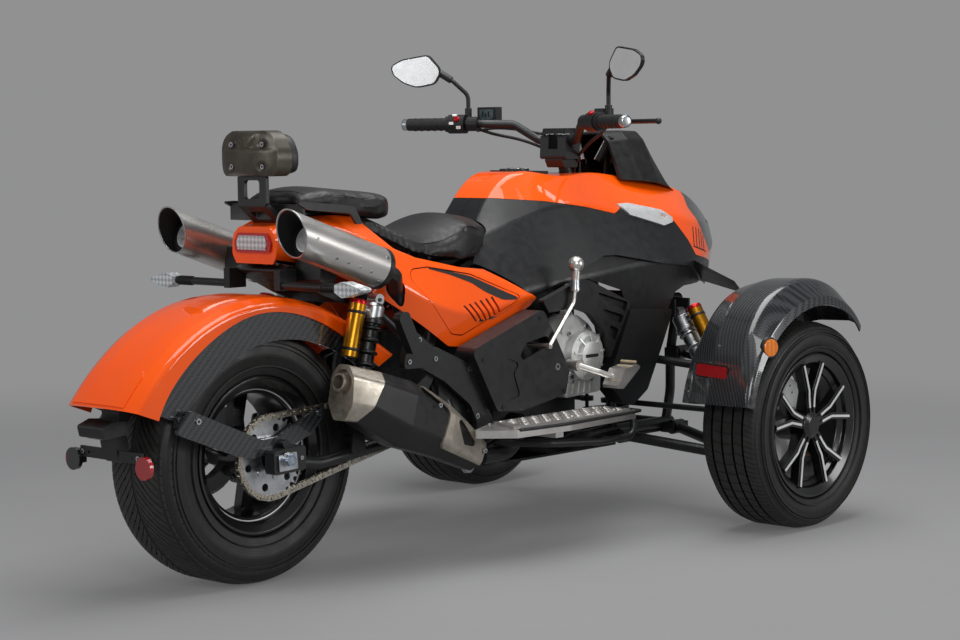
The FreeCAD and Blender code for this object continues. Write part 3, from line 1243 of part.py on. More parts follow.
def engine():
    """Plain block of the engine with its output side set back for the chain."""
    main = block(700, ENGINE_FRONT_X, -150, 150, 262, 560)
    rear = block(560, 705, ENGINE_REAR_Y, 150, 290, 520)
    head = side_plate([(820, 555, 10), (1000, 555, 10), (1010, 640, 20), (850, 640, 20)], -90, 90)
    return joined(main, rear, head).cut([frame_pivot(4), column_bore()])


def crankcase_covers():
    """Cast covers on both sides: a round clutch cover on a flange with bolt ears."""
    y = -150 - FIT
    flange = side_plate([(868, 500, 30), (930, 560, 40), (1000, 520, 60), (1040, 440, 60),
                         (1036, 350, 10), (900, 344, 10), (880, 400, 20)], y - 62, y)
    boss = rod(Vector(962, y, 448), Vector(962, y - 84, 448), 62)
    cap = Part.makeCone(62, 50, 10, Vector(962, y - 84, 448), Vector(0, -1, 0))
    ear = side_plate([(880, 500, 6), (896, 540, 10), (900, 568, 12), (924, 568, 12),
                      (930, 520, 6)], y - 66, y - 48)
    hole = rod(Vector(911, -300, 556), Vector(911, -100, 556), 5)
    rear_boss = rod(Vector(908, y, 398), Vector(908, y - 74, 398), 14)
    spout = rod(Vector(1000, y - 70, 486), Vector(1044, y - 70, 493), 7)
    pipe = rod(Vector(976, y - 92, 420), Vector(976, y - 78, 420), 12)
    return both(joined(flange, boss, cap, ear, rear_boss, spout, pipe).cut(hole))


def engine_side_covers():
    """Moulded covers beside the engine and the plates that carry the pillion footrests."""
    outer = [(520, 495, 16), (608, 343, 14), (700, 336, 60), (858, 362, 10), (872, 420, 20),
             (834, 486, 20), (776, 576, 14), (752, 570, 20)]
    y = -252.0
    shell = side_plate(outer, y, y + 60)
    inner = side_plate([(x * 0.96 + 700 * 0.04, z * 0.95 + 450 * 0.05, c) for x, z, c in outer],
                       y + 5, y + 70)
    window = side_plate([(690, 470, 10), (712, 500, 12), (790, 512, 12), (800, 488, 6),
                         (700, 458, 6)], y - 10, y + 80)
    dish = side_plate([(626, 372, 14), (650, 364, 14), (690, 372, 10), (668, 430, 14),
                       (690, 452, 20), (640, 470, 20), (606, 430, 20)], y - 1, y + 3)
    bolt = rod(Vector(828, y - 5, 432), Vector(828, y + 12, 432), 10)
    pivot = rod(Vector(790, -300, 486), Vector(790, -100, 486), 7 + FIT)
    cover = shell.cut([inner, window, dish, bolt, pivot])
    y = -225.0
    plate = side_plate([(369, 481, 8), (424, 512, 12), (536, 464, 10), (560, 431, 12),
                        (607, 345, 20), (646, 276, 6), (560, 300, 8), (563, 320, 10),
                        (542, 364, 40), (454, 428, 60), (372, 468, 6)], y, y + 14)
    holes = [rod(Vector(x, y - 10, z), Vector(x, y + 30, z), 8) for x, z in ((543, 449), (569, 334))]
    bosses = [rod(Vector(x, y + 12, z), Vector(x, FRAME_PLATE_Y - 7 - FIT, z), 9)
              for x, z in ((484, 440), (530, 396))]
    return both(cover, joined(plate.cut(holes), *bosses).cut(shell))


def footboards():
    """Tread plates on cast frames."""
    tray = top_plate([(452, -316, 8), (560, -262, 10), (968, -262, 10), (984, -300, 8),
                      (972, -384, 14), (700, -404, 60), (520, -392, 14)], 300, 318)
    tread = top_plate([(566, -272, 8), (962, -272, 8), (964, -376, 14), (700, -394, 60),
                       (530, -384, 14)], 318 + FIT, 324)
    rib = block(654, 682, -394, -210, 286, 300)
    studs = [rod(Vector(x, y, 320), Vector(x, y, 327), 4)
             for x in (600, 680, 760, 840, 920) for y in (-296, -352)]
    return both(joined(tray, rib), tread.fuse(studs))


def foot_guards():
    """Bent tube ahead of each footboard and the support under it."""
    guard = tube([Vector(1024, -206, 300), Vector(1024, -330, 300), Vector(1012, -340, 250),
                  Vector(880, -340, 248), Vector(700, -330, 262), Vector(640, -210, 262)], 9, 30)
    return both(guard)


def control_levers():
    """Brake pedal on the right and the gear lever with its ball knob."""
    pad = side_plate([(936, 374, 6), (960, 372, 4), (1028, 421, 6), (1016, 428, 4),
                      (968, 420, 8)], -352, -300)
    arm = tube([Vector(975, -326, 392), Vector(930, -300, 412), Vector(889, -262, 431)], 8, 30)
    hub = rod(Vector(889, -270, 431), Vector(889, -236, 431), 14)
    stem = tube([Vector(787, -262, 488), Vector(878, -262, 587), Vector(884, -262, 630)], 5, 30)
    socket = rod(Vector(883, -262, 620), Vector(887, -262, 664), 11)
    knob = Part.makeSphere(20, Vector(888, -262, 681))
    foot = rod(Vector(790, -262, 486), Vector(790, -190, 486), 7)
    return [joined(pad, arm, hub), joined(stem, socket, knob, foot)]


def pillion_footrests():
    """Folded-up pegs on their brackets."""
    bracket = side_plate([(300, 470, 10), (318, 540, 10), (345, 552, 10), (420, 498, 8), (396, 468, 8)],
                         -244, -225 - FIT)
    peg = side_plate([(263, 596, 12), (296, 606, 12), (338, 524, 8), (312, 500, 8)], -266, -244)
    return both(joined(bracket, peg))


FRAME_PLATE_Y = -SWING_Y - 36        # plates that hold the swingarm pivot


def frame():
    """Welded tubes: lower cradle, backbone, seat rails, arm towers; and the skid plate."""
    low_y, high_y = -118.0, -96.0
    head = on_column(700)
    nose_y = LOWER_IN.y + 38
    lower = tube([Vector(1500, nose_y, 214), Vector(1210, nose_y, 214), Vector(1080, low_y, 220),
                  Vector(620, low_y, 240),
                  Vector(540, low_y - 50, 268), Vector(PIVOT_X, FRAME_PLATE_Y, 330)], TUBE_R, 60)
    pieces = [lower]
    for x in (WHEELBASE - LOWER_SPREAD, WHEELBASE + LOWER_SPREAD):
        upper_x = WHEELBASE + (UPPER_SPREAD if x > WHEELBASE else -UPPER_SPREAD)
        knee_x = x + (16 if x > WHEELBASE else -16)
        pieces.append(tube([Vector(x, nose_y, 214), Vector(knee_x, nose_y - 4, 300),
                            Vector(upper_x, -118, 412), Vector(upper_x - 6, -150, 560)], 13, 60))
        pieces.append(rod(Vector(x, nose_y, 212), Vector(x, 0, 212), 13))
    for inner, spread in ((LOWER_IN, LOWER_SPREAD), (UPPER_IN, UPPER_SPREAD)):
        for way in (-1, 1):
            bush = inner + Vector(spread * way, 0, 0)
            pieces.append(rod(bush - Vector(34, 0, 0), bush + Vector(34, 0, 0), 7))
            for end in (-30, 30):
                lug = bush + Vector(end, 0, 0)
                pieces.append(block(lug.x - 3, lug.x + 3, lug.y - 14, lug.y + 28,
                                    lug.z - 14, lug.z + 14))
            pieces.append(block(bush.x - 33, bush.x + 33, bush.y + 21, bush.y + 28,
                                bush.z - 14, bush.z + 14))
    top = tube([Vector(1440, -150, 558), Vector(1300, -150, 562),
                Vector(head.x, high_y, 700),
                Vector(760, high_y, 700), Vector(560, high_y, 600), Vector(470, -150, 480),
                Vector(PIVOT_X, FRAME_PLATE_Y, 350)], TUBE_R, 80)
    pieces.append(top)
    rail = tube([Vector(640, high_y, 640), Vector(360, high_y, 690), Vector(130, -46, 732)], 11, 80)
    stay = tube([Vector(480, -150, 470), Vector(316, high_y - 10, 620), Vector(290, high_y, 700)],
                11, 60)
    plate = side_plate([(462, 300, 12), (560, 292, 12), (560, 380, 20), (500, 470, 12),
                        (460, 460, 12)], FRAME_PLATE_Y - 7, FRAME_PLATE_Y + 7)
    pieces += [rail, stay, plate]
    pieces.append(rod(REAR_SHOCK[0] - Y_AXIS * 16, REAR_SHOCK[0] + Y_AXIS * 40, SHOCK_BOLT_R))
    pieces.append(rod(FRONT_SHOCK[0] - Vector(30, 0, 0), FRONT_SHOCK[0] + Vector(30, 0, 0),
                      SHOCK_BOLT_R))
    for x in (-30, 30):
        at = FRONT_SHOCK[0] + Vector(x, 0, 0)
        pieces.append(block(at.x - 3, at.x + 3, at.y - 14, at.y + 70, at.z - 10, at.z + 36))
    cross = [rod(Vector(1440, -150, 558), Vector(1440, 150, 558), 13),
             rod(Vector(1330, -150, 561), Vector(1330, 150, 561), 13),
             rod(Vector(head.x, high_y, 700), Vector(head.x, -high_y, 700), 13),
             rod(REAR_SHOCK[0] + Y_AXIS * 28, mirrored_point(REAR_SHOCK[0]) - Y_AXIS * 28, 13),
             rod(Vector(560, high_y, 600), Vector(560, -high_y, 600), 13),
             rod(Vector(700, low_y, 236), Vector(700, -low_y, 236), 13),
             rod(Vector(1060, low_y, 222), Vector(1060, -low_y, 222), 13),
             rod(Vector(960, low_y, 226), Vector(960, -low_y, 226), 13),
             block(690, 716, -60, 60, 236, 262 - FIT), block(946, 974, -60, 60, 226, 262 - FIT)]
    pieces.append(rod(Vector(1024, -200, 298), Vector(1024, low_y, 222), 8))
    pieces.append(block(1014, 1034, -205.7, -196, 290, 310))
    pieces.append(rod(Vector(668, -203, 284), Vector(668, low_y, 238), 8))
    pieces.append(block(655, 681, -209.7, -198, 275, 300))
    pieces.append(rod(Vector(960, -266, 290), Vector(960, low_y, 226), 8))
    pieces.append(block(948, 972, -300, -258, 288, 299.7))
    solid = joined(*cross, *both(*pieces), frame_pivot())
    mounts = [rod(Vector(x, high_y, z), Vector(x, -260, z), 8).common(form(FRONT_FORM, PANEL + FIT))
              for x, z in ((960, 708), (1130, 708))]
    mounts.append(rod(Vector(600, high_y, 647), Vector(600, 0, 647), 11))
    mounts.append(rod(Vector(600, 0, 640), Vector(600, 0, 800), 24).common(form(TAIL_FORM)))
    solid = joined(solid, *both(*mounts))
    skid = top_plate([(760, -150, 30), (1180, -150, 20), (1205, -82, 20), (1500, -82, 30),
                      (1500, 82, 30), (1205, 82, 20), (1180, 150, 20), (760, 150, 30)], 191.7, 197.7)
    head_tube = rod(on_column(820), on_column(640), COLUMN_R + RUN + 8)
    bearings = [rod(on_column(z), on_column(z + 18), COLUMN_R + RUN + 2).cut(
        rod(on_column(z - 20), on_column(z + 40), COLUMN_R + FIT)) for z in (642, 800)]
    return [joined(joined(solid, head_tube).cut(column_bore()), *bearings), skid]


# ---- output -------------------------------------------------------------------------------------
def main():
    front, tail = front_skin(), tail_skin()
    rim, wheel, fender, knuckle_right, link = (front_rim(), front_tyre(), front_fender(), knuckle(),
                                               tie_rod())
    nodes = {
        "frame": frame(),
        "engine": [engine()],
        "crankcase_covers": crankcase_covers(),
        "engine_side_covers": engine_side_covers(),
        "radiator_grilles": radiator_grilles(),
        "leg_fairings": leg_fairings(),
        "side_fairings": side_fairings(front),
        "tank_shell": [tank_shell(front)],
        "filler_panel": [filler_panel()],
        "instrument_hood": instrument_hood(),
        "headlamp": [headlamp()],
        "footboards": footboards(),
        "foot_guards": foot_guards(),
        "control_levers": control_levers(),
        "swingarm": [swingarm()],
        "rear_axle": [rear_axle()],
        "drive_chain": [*chain(), drive_sprocket()],
        "rear_fender": [rear_fender()],
        "fender_skirts": fender_skirts(),
        "plate_bracket": [plate_bracket()],
        "rear_reflectors": rear_reflectors(),
        "shock_absorbers": shock_absorbers(),
        "shock_reservoirs": shock_reservoirs(),
        "suspension_arms": suspension_arms(),
        "muffler_body": [muffler_body()],
        "muffler_trim": muffler_trim(),
        "upper_mufflers": both(upper_muffler()),
        "exhaust_pipes": exhaust_pipes(),
        "tail_cowl": [tail_cowl(tail)],
        "side_panels": side_panels(tail),
        "tail_light": [tail_light()],
        "tail_tray": [tail_tray()],
        "turn_signals": turn_signals(),
        "rider_seat": [rider_seat()],
        "pillion_seat": [pillion_seat()],
        "backrest_pad": [backrest_pad()],
        "backrest_shell": [backrest_shell()],
        "seat_brackets": [seat_brackets()],
        "pillion_footrests": pillion_footrests(),
        "handlebar": [handlebar()],
        "grips": grips(),
        "handlebar_controls": handlebar_controls(),
        "mirrors": mirrors(),
        "mirror_glasses": mirror_glasses(),
        "knuckle_right": [knuckle_right],
        "knuckle_left": [mirrored(knuckle_right)],
        "front_fender_right": [fender],
        "front_fender_left": [mirrored(fender)],
        "tie_rod_right": [link],
        "tie_rod_left": [mirrored(link)],
        "front_tyre_right": [wheel],
        "front_tyre_left": [mirrored(wheel)],
        "front_rim_right": [rim],
        "front_rim_left": [mirrored(rim)],
        "rear_tyre": [rear_tyre()],
        "rear_rim": [rear_rim()],
        "rear_sprocket": [rear_sprocket()],
    }
    os.makedirs("parts", exist_ok=True)
    for name, solids in nodes.items():
        shape = solids[0] if len(solids) == 1 else Part.makeCompound(solids)
        shape.translate(Vector(-MIDDLE_X, 0, 0))
        shape.exportStep("parts/" + name + ".step")


main()
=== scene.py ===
import json
import math

import bmesh
import bpy
from mathutils import Euler, Matrix, Vector
from mathutils.bvhtree import BVHTree


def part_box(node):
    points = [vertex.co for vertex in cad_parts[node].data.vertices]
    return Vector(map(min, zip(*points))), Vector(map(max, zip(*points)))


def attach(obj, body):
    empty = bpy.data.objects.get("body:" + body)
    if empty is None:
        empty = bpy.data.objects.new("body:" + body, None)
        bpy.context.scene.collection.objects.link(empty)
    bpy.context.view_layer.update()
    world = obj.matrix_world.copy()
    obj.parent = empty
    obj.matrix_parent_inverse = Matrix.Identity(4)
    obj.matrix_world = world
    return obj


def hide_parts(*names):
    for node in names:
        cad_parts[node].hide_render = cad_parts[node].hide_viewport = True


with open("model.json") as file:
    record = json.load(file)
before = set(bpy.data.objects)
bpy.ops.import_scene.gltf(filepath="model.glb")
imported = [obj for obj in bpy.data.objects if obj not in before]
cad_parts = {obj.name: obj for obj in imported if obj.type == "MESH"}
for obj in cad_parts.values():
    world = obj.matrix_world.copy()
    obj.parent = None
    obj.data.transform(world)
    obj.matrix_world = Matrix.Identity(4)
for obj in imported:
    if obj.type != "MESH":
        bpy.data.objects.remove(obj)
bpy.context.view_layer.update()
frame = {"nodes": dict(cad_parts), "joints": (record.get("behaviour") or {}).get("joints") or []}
nodes = frame["nodes"]
joints = {joint["name"]: joint for joint in frame["joints"]}
REAR_AXLE = Vector(joints["spin_rear"]["pos_m"])
FRONT_AXLES = {side: Vector(joints[f"spin_front_{side}"]["pos_m"]) for side in ("right", "left")}
X, Y, Z = Vector((1, 0, 0)), Vector((0, 1, 0)), Vector((0, 0, 1))  # forward, left, up
SIDES = (-1, 1)  # right and left, along Y

# ---- Welded tubes ----
# The cradle, swingarm, wishbones, guards and brackets are mild steel tube and plate, MIG-welded,
# shot-blasted and powder-coated satin black. The coat leaves a faint orange-peel skin.
POWDER_BLACK = "#101113"
PEEL = 0.004  # metres between the waves of the cured powder
NOISE_LOW, NOISE_HIGH = 0.3, 0.7  # most of a noise lies between these


def linear(hex_colour):
    """sRGB hex to the linear RGBA that Blender's sockets take."""
    parts = [int(hex_colour[i:i + 2], 16) / 255 for i in (1, 3, 5)]
    return [c / 12.92 if c <= 0.04045 else ((c + 0.055) / 1.055) ** 2.4 for c in parts] + [1.0]


def add(tree, kind, links=(), **settings):
    """A node with its settings; links gives each input a value or another node's output."""
    made = tree.nodes.new(kind)
    for name, value in settings.items():
        setattr(made, name, value)
    for socket, value in dict(links).items():
        if isinstance(value, bpy.types.NodeSocket):
            tree.links.new(value, made.inputs[socket])
        else:
            made.inputs[socket].default_value = value
    return made


def out_of(tree, kind, links=(), **settings):
    """The first output of a new node."""
    return add(tree, kind, links, **settings).outputs[0]


def calc(tree, operation, a, b=0.0):
    return out_of(tree, "ShaderNodeMath", {0: a, 1: b}, operation=operation)


def here(tree):
    """Object coordinates, which are the frame's own metres."""
    return add(tree, "ShaderNodeTexCoord").outputs["Object"]


def finish_of(name, **sockets):
    """A material, its tree and its Principled shader, with these plain values."""
    made = bpy.data.materials.new(name)
    made.use_nodes = True
    shader = made.node_tree.nodes["Principled BSDF"]
    for socket, value in sockets.items():
        shader.inputs[socket.replace("_", " ")].default_value = value
    return made, made.node_tree, shader


def speckle(tree, spacing, detail=3.0, stretch=(1, 1, 1)):
    """Noise on Object coordinates whose waves are this many metres apart."""
    where = out_of(tree, "ShaderNodeMapping", {"Vector": here(tree), "Scale": stretch})
    return add(tree, "ShaderNodeTexNoise", {"Vector": where, "Scale": 1 / spacing,
                                            "Detail": detail, "Roughness": 0.55}).outputs["Fac"]


def vary(tree, shader, fac, socket, low, high):
    """Spreads a socket between two values by a 0 to 1 pattern."""
    spread = out_of(tree, "ShaderNodeMapRange", {"Value": fac, "From Min": NOISE_LOW,
                                                 "From Max": NOISE_HIGH, "To Min": low,
                                                 "To Max": high})
    tree.links.new(spread, shader.inputs[socket])


def tones(tree, fac, dark, light, low=NOISE_LOW, high=NOISE_HIGH):
    """Colour between two hex values by a 0 to 1 pattern."""
    ramp = add(tree, "ShaderNodeValToRGB", {"Fac": fac})
    for element, place, colour in zip(ramp.color_ramp.elements, (low, high), (dark, light)):
        element.position, element.color = place, linear(colour)
    return ramp.outputs["Color"]


def emboss(tree, shader, height, depth):
    """Bump of a pattern, its full height this many metres."""
    bump = add(tree, "ShaderNodeBump", {"Height": height, "Distance": depth, "Strength": 1.0})
    tree.links.new(bump.outputs["Normal"], shader.inputs["Normal"])


def coat(name, hues, gloss=None, bump=None, **sockets):
    """A finish whose colour, gloss and height follow noise.

    hues is (grain, dark, light), gloss (grain, low, high) and bump (grain, depth in metres). A
    grain is a spacing in metres, or a tuple of all that speckle takes.
    """
    made, tree, shader = finish_of(name, **sockets)

    def noise(grain):
        return speckle(tree, *(grain if isinstance(grain, tuple) else (grain,)))

    tree.links.new(tones(tree, noise(hues[0]), *hues[1:]), shader.inputs["Base Color"])
    if gloss:
        vary(tree, shader, noise(gloss[0]), "Roughness", *gloss[1:])
    if bump:
        emboss(tree, shader, noise(bump[0]), bump[1])
    return made


def paint_node(material, *names):
    for name in names:
        for slot in nodes[name].material_slots:
            slot.material = material


powder_coat = coat("powder_coated_steel", (0.09, POWDER_BLACK, "#191a1c"), (0.03, 0.34, 0.5),
                   ((PEEL, 1.0), 0.00008), Roughness=0.42)
paint_node(powder_coat, "frame", "swingarm", "suspension_arms", "foot_guards", "seat_brackets",
           "tie_rod_right", "tie_rod_left", "exhaust_pipes", "handlebar")

# ---- Fasteners ----
# Zinc-plated cap screws, M5 to M8, with a hexagon socket. They hold the covers, the brackets, the
# shields and the bar clamp, so one node tree seats a head on every listed spot.
SHARP_ANGLE = math.radians(38)  # edges sharper than this stay sharp
SOCKET_PROUD = 0.0002  # the socket's dark disc over the head, painted shade in the socket, metres


def at(x, y, z):
    """Point in metres from millimetres ahead of the rear axle, to the left and above the floor."""
    return Vector((REAR_AXLE.x + x / 1000, y / 1000, z / 1000))


def shown(name, mesh, material=None):
    """Object of a mesh with its sharp edges kept and the rest shaded smooth."""
    if material:
        mesh.materials.append(material)
    mesh.shade_smooth()
    mesh.set_sharp_from_angle(angle=SHARP_ANGLE)
    made = bpy.data.objects.new(name, mesh)
    bpy.context.scene.collection.objects.link(made)
    return made


def new_tree(name, **inputs):
    """Geometry node tree with a geometry socket each way and these named inputs."""
    made = bpy.data.node_groups.new(name, "GeometryNodeTree")
    made.interface.new_socket("Geometry", in_out="INPUT", socket_type="NodeSocketGeometry")
    made.interface.new_socket("Geometry", in_out="OUTPUT", socket_type="NodeSocketGeometry")
    for label, kind in inputs.items():
        made.interface.new_socket(label, in_out="INPUT", socket_type="NodeSocket" + kind)
    return made, add(made, "NodeGroupInput").outputs, add(made, "NodeGroupOutput").inputs


def run_tree(name, mesh, node_tree, body, **values):
    """Puts a node tree on a mesh, bakes what it makes to a plain mesh and rides it on a body."""
    made = bpy.data.objects.new(name, mesh)
    bpy.context.scene.collection.objects.link(made)
    modifier = made.modifiers.new(name, "NODES")
    modifier.node_group = node_tree
    for socket in node_tree.interface.items_tree:
        if socket.in_out == "INPUT" and socket.name in values:
            modifier[socket.identifier] = values[socket.name]
    graph = bpy.context.evaluated_depsgraph_get()
    baked = bpy.data.meshes.new_from_object(made.evaluated_get(graph))
    bpy.data.objects.remove(made)
    baked.name = name
    done = shown(name, baked)
    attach(done, body)


zinc = coat("zinc_plated_steel", (0.03, "#9fa2a6", "#cfd2d4"), (0.02, 0.26, 0.34),
            ((0.01, 1.0), 0.000004), Metallic=1.0, Roughness=0.3)
# Near black for holes, openings and the silencers' linings, where shade lies: painted shade; the
# display's printed digits use it too.
shade_and_print_black = coat("shadowed_hole", (0.01, "#040404", "#090909"), (0.004, 0.7, 0.9), Roughness=0.8)

screw_tree, given, result = new_tree("cap_screws", Radius="Float", Height="Float", Socket="Float",
                                     Sides="Int", Head="Material", Hole="Material")
facing = add(screw_tree, "GeometryNodeInputNamedAttribute", {"Name": "facing"},
             data_type="FLOAT_VECTOR").outputs["Attribute"]
turned = out_of(screw_tree, "FunctionNodeAlignRotationToVector", {"Vector": facing}, axis="Z")
hole_r = calc(screw_tree, "MULTIPLY", given["Radius"], given["Socket"])
hole_h = calc(screw_tree, "ADD", given["Height"], SOCKET_PROUD)
screw = add(screw_tree, "GeometryNodeJoinGeometry")
# The socket is a near-black hexagon just over each head: painted shade in the socket.
for sides, radius, height, metal in ((6, hole_r, hole_h, "Hole"),
                                     (given["Sides"], given["Radius"], given["Height"], "Head")):
    part = out_of(screw_tree, "GeometryNodeMeshCylinder",
                  {"Vertices": sides, "Radius": radius, "Depth": height})
    part = out_of(screw_tree, "GeometryNodeSetMaterial",
                  {"Geometry": part, "Material": given[metal]})
    screw_tree.links.new(part, screw.inputs[0])
seated = out_of(screw_tree, "GeometryNodeInstanceOnPoints",
                {"Points": given["Geometry"], "Instance": screw.outputs[0], "Rotation": turned})
seated = out_of(screw_tree, "GeometryNodeRealizeInstances", {"Geometry": seated})
screw_tree.links.new(seated, result["Geometry"])


def screws(name, spots, radius, height, body="root", metal=zinc, dark=shade_and_print_black, socket=0.5, sides=14):
    """Heads in millimetres on spots of (point, way it faces)."""
    mesh = bpy.data.meshes.new(name)
    mesh.from_pydata([list(spot) for spot, _ in spots], [], [])
    way = mesh.attributes.new("facing", "FLOAT_VECTOR", "POINT")
    way.data.foreach_set("vector", [c for _, face in spots for c in face.normalized()])
    run_tree(name, mesh, screw_tree, body, Radius=radius / 1000, Height=height / 1000,
             Socket=socket, Sides=sides, Head=metal, Hole=dark)


def both_sides(rows, y):
    """Spots of (X, Z) on a right-hand face at -y and their left-hand copies at +y."""
    return [(at(x, y * side, z), Y * side) for x, z in rows for side in SIDES]


screws("frame_bolts", both_sides([(500, 350)], 181.5), 11, 8)
screws("footboard_bolts", [(at(x, y * side, 319), Z) for side in SIDES
                           for x, y in ((560, 268), (962, 268), (975, 370), (540, 388))], 5.5, 4)

# ---- Engine ----
# Block and covers are die-cast aluminium, bead-blasted: pale grey and slightly grainy. The block,
# set back in the hollow behind the covers, is coloured far darker: painted shade. The clutch cover
# is held by a ring of cap screws.
CLUTCH = (962, 448)  # middle of the clutch cover: X, Z
COVER_FACE, CLUTCH_FACE = 212, 245  # how far the flange and the round cover stand out, mm
SCREW_RING_R = 73


def polar(degrees):
    return math.cos(math.radians(degrees)), math.sin(math.radians(degrees))


def ring(bm, centre, across, other, radius, sides):
    """Vertices evenly round a circle that two unit vectors span."""
    return [bm.verts.new(centre + (across * math.cos(math.tau * i / sides)
                                   + other * math.sin(math.tau * i / sides)) * radius)
            for i in range(sides)]


def band(bm, low, high):
    """Faces between two rings of vertices."""
    for corners in zip(low, low[1:] + low[:1], high[1:] + high[:1], high):
        bm.faces.new(corners)


def tube(bm, rings):
    """Skin over rings of vertices, closed at both ends."""
    for low, high in zip(rings, rings[1:]):
        band(bm, low, high)
    bm.faces.new(rings[0][::-1])
    bm.faces.new(rings[-1])


def lathe(bm, start, axis, rows, sides=24):
    """Closed body turned about an axis, from rows of (along it, radius) in metres."""
    axis = axis.normalized()
    across = axis.orthogonal().normalized()
    tube(bm, [ring(bm, start + axis * along, across, axis.cross(across), radius, sides)
              for along, radius in rows])


def prism(bm, corners, push):
    """Polygon of points pushed along a vector."""
    tube(bm, [[bm.verts.new(p) for p in corners], [bm.verts.new(p + push) for p in corners]])


def mesh_of(name, bm):
    """Mesh of a body of solids, its faces turned outward."""
    bmesh.ops.recalc_face_normals(bm, faces=bm.faces[:])
    mesh = bpy.data.meshes.new(name)
    bm.to_mesh(mesh)
    bm.free()
    return mesh


def piece(name, bm, material, body="root"):
    """Finishes a body of solids as one piece that rides on a body of the frame."""
    made = shown(name, mesh_of(name, bm), material)
    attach(made, body)


cast = coat("die_cast_aluminium", (0.05, "#bcbdbb", "#d6d7d4"), (0.012, 0.36, 0.52),
            (0.0022, 0.0002), Metallic=0.7, Roughness=0.42)
paint_node(cast, "crankcase_covers", "knuckle_right", "knuckle_left")
# The block's dark grey is painted shade, for the hollow it sits in behind the covers.
shaded_block_cast = coat("shaded_block_aluminium", (0.06, "#2c2d2e", "#474848"), (0.01, 0.5, 0.7),
                  (0.002, 0.0002), Metallic=0.9, Roughness=0.6)
paint_node(shaded_block_cast, "engine")

ring_spots = [(CLUTCH[0] + SCREW_RING_R * c, CLUTCH[1] + SCREW_RING_R * s)
              for c, s in map(polar, (20, 75, 130, 185, 240, 300))]
screws("clutch_cover_screws", both_sides(ring_spots, 214), 6, 6)
screws("ear_bolt", both_sides([(911, 556)], 217), 9, 7)
screws("oil_plug", both_sides([(908, 398)], 227), 10, 6, socket=0.6)
cover_ribs, openings = bmesh.new(), bmesh.new()
for side in SIDES:
    middle = at(CLUTCH[0], CLUTCH_FACE * side, CLUTCH[1])
    lathe(cover_ribs, middle, Y * side, [(-0.002, 0.036), (0.003, 0.036), (0.004, 0.034)], 40)
    for c, s in map(polar, range(10, 331, 40)):
        way = Vector((c, 0, s))
        edge = Vector((-s, 0, c)) * 0.002
        inner, outer = middle + way * 0.038, middle + way * 0.058 - Y * 0.007 * side
        prism(cover_ribs, [inner - edge, outer - edge, outer + edge, inner + edge],
              Y * 0.004 * side)
    for k in range(5):  # cooling ribs on the flange's lower corner
        foot = at(905 + 22 * k, (COVER_FACE - 0.5) * side, 352)
        prism(cover_ribs, [foot + Vector((x, 0, z)) for x, z in (
            (0, 0), (0.005, 0), (0.011, 0.034), (0.006, 0.034))], Y * 0.003 * side)
    # Near-black discs and a slot just over the covers stand where they open: painted shade in the
    # openings.
    for x, z, radius in ((930, 470, 0.008), (1010, 400, 0.006)):
        lathe(openings, at(x, COVER_FACE * side, z), Y * side,
              [(-0.002, radius), (0.0008, radius)])
    prism(openings, [at(x, (CLUTCH_FACE + 0.5) * side, z) for x, z in (
        (938, 452), (986, 452), (986, 444), (938, 444))], Y * 0.0042 * side)
piece("clutch_cover_ribs", cover_ribs, cast)
piece("clutch_cover_openings", openings, shade_and_print_black)

# ---- Drive chain and sprocket ----
# Nickel-plated side plates and rollers, with a film of brown lubricant; the sprocket is plain
# machined steel with a zinc flash. The axle nut is blue-passivated.
chain_plate = coat("nickel_plated_steel", (0.006, "#8d8578", "#c8c4ba"), (0.004, 0.2, 0.42),
                   Metallic=1.0, Roughness=0.28)
paint_node(chain_plate, "drive_chain")
paint_node(zinc, "rear_sprocket", "rear_axle")
blue_zinc = coat("blue_passivated_zinc", (0.01, "#7f93ad", "#a9b9cc"), (0.004, 0.2, 0.34),
                 Metallic=1.0, Roughness=0.25)
screws("axle_nuts", both_sides([(0, 291)], 188), 14, 9, metal=blue_zinc, dark=zinc, socket=0.55,
       sides=6)
screws("chain_adjusters", both_sides([(-16, 284), (46, 290)], 172), 4.5, 6)

# ---- Wheels ----
# Cast aluminium, gloss black under clear lacquer. The front spokes are then faced on a lathe and
# the ridges left bright; the rear rim has only a fine line inside its lip polished.
def two_finishes(tree, shader, mask, socket, off, on):
    """Sets a socket to one value outside a 0 or 1 mask and to another inside it."""
    kind, first, result = ("RGBA", 6, 2) if socket == "Base Color" else ("FLOAT", 2, 0)
    mix = add(tree, "ShaderNodeMix", {0: mask, first: off, first + 1: on}, data_type=kind)
    tree.links.new(mix.outputs[result], shader.inputs[socket])


def two_colours(tree, shader, mask, spacing, off, on):
    """Base colour between one pair of hex values outside a mask and another pair inside it."""
    grain = speckle(tree, spacing)
    two_finishes(tree, shader, mask, "Base Color", tones(tree, grain, *off),
                 tones(tree, grain, *on))


def between(tree, value, low, high):
    """1 where a value lies between two bounds, else 0."""
    return calc(tree, "MULTIPLY", calc(tree, "GREATER_THAN", value, low),
                calc(tree, "LESS_THAN", value, high))


def xyz(tree):
    return add(tree, "ShaderNodeSeparateXYZ", {0: here(tree)}).outputs


def around_axle(tree, centre):
    """Distance from a wheel axle through centre, and distance from the middle plane."""
    flat = out_of(tree, "ShaderNodeMapping", {"Vector": here(tree), "Scale": (1, 0, 1),
                                              "Location": (-centre.x, 0, -centre.z)})
    radius = add(tree, "ShaderNodeVectorMath", {0: flat}, operation="LENGTH").outputs["Value"]
    return radius, calc(tree, "ABSOLUTE", xyz(tree)["Y"])


